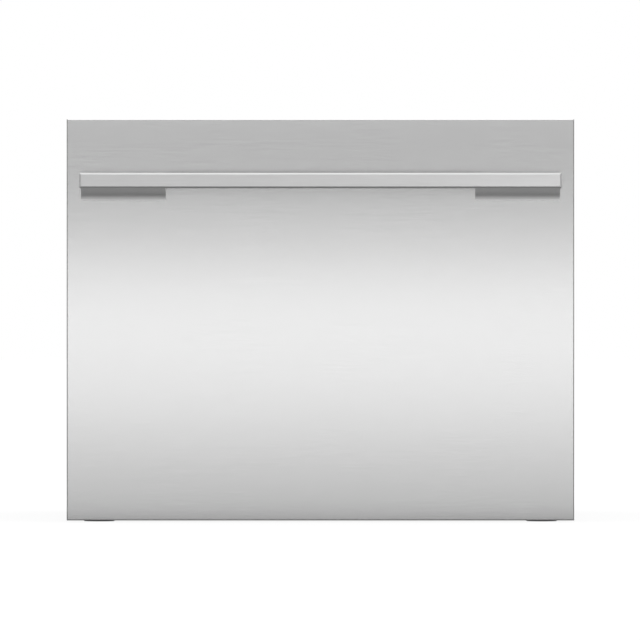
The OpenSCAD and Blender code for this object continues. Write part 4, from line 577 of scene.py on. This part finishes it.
def sieve_cone(x, y, z):
    """The water inlet's sieve: a folded cone of mesh in a rim."""
    rim_r, rim_y, cone_y, cone_r = 9.9, 2.0, 1.2, 9.4
    steps, step_len, taper, fold_depth = 12, 0.4, 0.28, 0.35
    profile = [(rim_y, rim_r), (cone_y, rim_r)]
    profile += [(cone_y - k * step_len, cone_r - taper * k - fold_depth * (k % 2)) for k in range(steps)]
    return turned((x, y, z), (0, 1, 0), in_mm(profile), sides=40)


def make_inlet_valve():
    """The water inlet: a threaded port, the solenoid and the outlet behind it, and the sieve in its bore."""
    flange_r, port_len, coil_back, tail_up = 18.2 * MM, 18.3 * MM, 22 * MM, 2 * MM
    low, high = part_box("inlet_valve")
    x, z = high.x - flange_r, low.z + flange_r
    wall = high.y - port_len
    parts = [threaded_port(wall, x, z, flange_r, port_len), solenoid_coil(x, wall - coil_back, z),
             hose_tail(x, wall - coil_back, z + tail_up)]
    make_piece("threaded_inlet", parts, "white plastic", "cabinet", ["inlet_valve"])
    make_piece("inlet_sieve", [sieve_cone(x, wall, z)], "blue plastic", "cabinet")


def spigot_barb(x, wall, z, start):
    """One of the drain spigot's barbs, sloping towards its open end. start is in mm from the wall."""
    spigot_r, barb_r, root_r, crest, length = 9.4, 10.6, 9.55, 1.0, 4.4
    profile = [(start, spigot_r), (start, barb_r), (start + crest, barb_r),
               (start + length, root_r), (start + length, spigot_r)]
    return turned((x, wall, z), (0, 1, 0), in_mm(profile), sides=48, loop=True)


def gland_nut(x, wall, z):
    """The cable gland's six-sided nut with its neck."""
    bore_r, nut_r, edge, nut_t, neck_r, mouth_r, end = 4.8, 10.2, 0.6, 6.0, 8.6, 7.8, 8.6
    profile = [(0.0, bore_r), (0.0, nut_r - edge), (edge, nut_r), (nut_t - edge, nut_r),
               (nut_t, nut_r - edge), (nut_t, neck_r), (end, mouth_r), (end, bore_r)]
    return turned((x, wall, z), (0, 1, 0), in_mm(profile), sides=6, loop=True)


def make_pocket_fittings():
    """Barbs on the drain spigot and a nut on the cable gland, in the service pocket at the back."""
    drain_in, gland_in, pocket_wall = 38 * MM, 76 * MM, 2 * MM
    first_barb, barb_pitch, barb_count = 7.0, 6.0, 3
    low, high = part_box("service_pocket")
    wall = low.y + pocket_wall
    z = (low.z + high.z) / 2
    barbs = [spigot_barb(low.x + drain_in, wall, z, first_barb + n * barb_pitch) for n in range(barb_count)]
    make_piece("drain_spigot_barbs", barbs, "dark plastic", "cabinet")
    make_piece("cable_gland_nut", [gland_nut(low.x + gland_in, wall, z)],
               "dark plastic", "cabinet")


def make_display():
    """The dark glass of the display, sunk in the control strip between its edge and the buttons."""
    half_x, half_y, corner_r, play = 45 * MM, 7 * MM, 1.2 * MM, 0.25 * MM
    depth, sunk, edge = 1.0 * MM, 0.25 * MM, 0.25 * MM
    low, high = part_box("control_fascia")
    middle_y = (low.y + high.y) / 2
    verts = []
    levels = ((high.z - depth, play), (high.z - sunk - edge, play), (high.z - sunk, play + edge))
    for z, inset in levels:
        outline = bent([(x * (half_x - inset), middle_y + y * (half_y - inset), z) for x, y in CORNERS],
                       corner_r, loop=True)
        verts += outline
    sides = len(verts) // len(levels)
    make_piece("display_glass", [rings_of(verts, sides)], "display glass", "drawer")


def joint_place(name):
    """Where a joint turns, in metres."""
    return Vector(next(joint["pos_m"] for joint in frame["joints"] if joint["name"] == name))


REAR_PIVOT, ELBOW = joint_place("rear_link_turn"), joint_place("front_link_turn")
LINK_ANGLE = math.atan2(ELBOW.y - REAR_PIVOT.y, ELBOW.x - REAR_PIVOT.x)
make_basket()
make_hoses("rear_hoses", "rear_link_hoses", "rear_arm", REAR_PIVOT, LINK_ANGLE)
make_hoses("front_hoses", "front_link_hoses", "front_arm", ELBOW, math.pi - LINK_ANGLE)
make_inlet_valve()
make_pocket_fittings()
make_display()


# Stage, light and camera

PANEL_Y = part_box("front_panel")[0].y


def seen_directly(tree, ray):
    """One for a ray that comes from the camera, also through glass."""
    return result_of(tree, "MAXIMUM", ray.outputs["Is Camera Ray"], ray.outputs["Is Transmission Ray"])


def make_floor():
    """A pale floor, white to the camera away from the object, that keeps the object's shadow. Seen in
    reflections alone, it has a painted glow: dim just in front of the panel, brighter further ahead and
    behind it.
    """
    half, shadow_reach, white_from, shadow_white = 40.0, 0.35, 1.0, 0.9
    glow_reach, near_glow, far_glow = 0.36, 0.12, 0.5
    rear_start, rear_end = 0.2, 1.0
    mesh = bpy.data.meshes.new("floor")
    mesh.from_pydata([(x * half, y * half, 0) for x, y in CORNERS], [], [(0, 1, 2, 3)])
    floor = bpy.data.objects.new("floor", mesh)
    bpy.context.scene.collection.objects.link(floor)
    made, tree, shader = new_material("pale floor", {
        "Base Color": (0.14, 0.14, 0.14, 1.0), "Roughness": 0.9, "Specular IOR Level": 0.0,
        "Emission Color": WHITE})
    place = add_node(tree, "ShaderNodeTexCoord").outputs["Object"]
    reach = add_node(tree, "ShaderNodeVectorMath", {0: place}, operation="LENGTH").outputs["Value"]
    away = ramp_of(tree, reach, shadow_reach, white_from, shadow_white, 1.0, "SMOOTHSTEP")
    y = add_node(tree, "ShaderNodeSeparateXYZ", {"Vector": place}).outputs["Y"]
    # Painted reflection: to glossy rays only, the floor glows dimly right in front of the panel and brighter
    # further ahead and behind, which keeps the handle's undersides and the panel's bottom edge dark
    ahead = ramp_of(tree, y, PANEL_Y, PANEL_Y - glow_reach, near_glow, far_glow, "SMOOTHSTEP")
    behind = ramp_of(tree, y, rear_start, rear_end, 0.0, 1.0)
    ray = add_node(tree, "ShaderNodeLightPath")
    direct = result_of(tree, "MULTIPLY", seen_directly(tree, ray), away)
    painted_reflection_glow = result_of(tree, "MULTIPLY", ray.outputs["Is Glossy Ray"],
                         result_of(tree, "MAXIMUM", ahead, behind))
    tree.links.new(result_of(tree, "MAXIMUM", direct, painted_reflection_glow), shader.inputs["Emission Strength"])
    mesh.materials.append(made)


def make_world():
    """A studio that is white behind the object and grey in front of it, and white to the camera."""
    front_glow, rear_glow, mirror_extra = 0.32, 0.7, 0.3
    ramp_start, ramp_end = 0.35, 0.9
    world = bpy.data.worlds.new("studio")
    bpy.context.scene.world = world
    world.use_nodes = True
    tree = world.node_tree
    back = tree.nodes["Background"]
    back.inputs["Color"].default_value = WHITE
    way = add_node(tree, "ShaderNodeTexCoord").outputs["Generated"]
    y = add_node(tree, "ShaderNodeSeparateXYZ", {"Vector": way}).outputs["Y"]
    ray = add_node(tree, "ShaderNodeLightPath")
    extra = result_of(tree, "MULTIPLY", ray.outputs["Is Glossy Ray"], mirror_extra)
    lit = ramp_of(tree, y, ramp_start, ramp_end, front_glow, result_of(tree, "ADD", extra, rear_glow))
    strength = add_node(tree, "ShaderNodeMix", {"Factor": seen_directly(tree, ray), "A": lit, "B": 1.0})
    tree.links.new(strength.outputs["Result"], back.inputs["Strength"])


def softbox(name, place, aim, size, radiance):
    """A soft area light, placed in metres. radiance is how bright its face looks."""
    light = bpy.data.lights.new(name, "AREA")
    light.shape = "RECTANGLE"
    light.size, light.size_y = size
    light.energy = radiance * math.pi * size[0] * size[1]
    lamp = bpy.data.objects.new(name, light)
    lamp.location = place
    lamp.rotation_euler = (Vector(aim) - Vector(place)).to_track_quat("-Z", "Y").to_euler()
    lamp.visible_camera = False
    bpy.context.scene.collection.objects.link(lamp)


def make_lights():
    """Cards stacked in front, whose glow gives the panel its tones, and soft boxes all round."""
    card_y, card_width = -1.96, 3.2
    low_aim, high_aim = (0.0, PANEL_Y, 0.235), (0.0, PANEL_Y, 0.4)
    for name, height, tall, radiance, aim in (
            ("low card 1", 0.06, 0.1, 0.2, low_aim), ("low card 2", 0.13, 0.1, 0.66, low_aim),
            ("low card 3", 0.2, 0.1, 0.42, low_aim), ("low card 4", 0.27, 0.1, 1.04, low_aim),
            ("low card 5", 0.35, 0.1, 0.15, low_aim), ("front strip 1", 0.7, 0.2, 0.84, high_aim),
            ("front strip 2", 0.95, 0.25, 1.6, high_aim), ("front strip 3", 1.25, 0.3, 1.6, high_aim),
            ("front strip 4", 1.6, 0.3, 1.6, high_aim)):
        softbox(name, (0.0, card_y, height), aim, (card_width, tall), radiance)
    softbox("overhead", (0.0, -0.1, 2.0), (0.0, 0.0, 0.3), (1.6, 1.6), 1.12)
    softbox("right card", (0.9, -1.6, 0.45), (0.28, PANEL_Y - 0.046, 0.4), (0.3, 0.5), 3.4)
    softbox("right side", (2.3, 0.6, 1.0), (0.3, 0.0, 0.25), (1.2, 1.2), 1.3)
    softbox("left side", (-2.3, 0.6, 1.0), (-0.3, 0.0, 0.25), (1.2, 1.2), 1.2)
    softbox("behind", (0.6, 2.4, 1.2), (0.0, 0.3, 0.25), (1.6, 1.2), 0.7)


def make_camera():
    """A long lens straight in front, as in the photograph."""
    photo_width, distance = 0.7553, 10.0
    off_centre_x, off_centre_z = 0.53 * MM, 0.41 * MM
    low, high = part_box("front_panel")
    middle = (low + high) / 2
    camera = bpy.data.cameras.new("camera")
    camera.sensor_width = 36.0
    camera.lens = camera.sensor_width * distance / photo_width
    camera.clip_end = 100.0
    seat = bpy.data.objects.new("camera", camera)
    bpy.context.scene.collection.objects.link(seat)
    seat.location = (middle.x - off_centre_x, PANEL_Y - distance, middle.z - off_centre_z)
    seat.rotation_euler = (math.pi / 2, 0.0, 0.0)
    bpy.context.scene.camera = seat


make_floor()
make_world()
make_camera()
make_lights()
bpy.context.scene.view_settings.view_transform = "Standard"
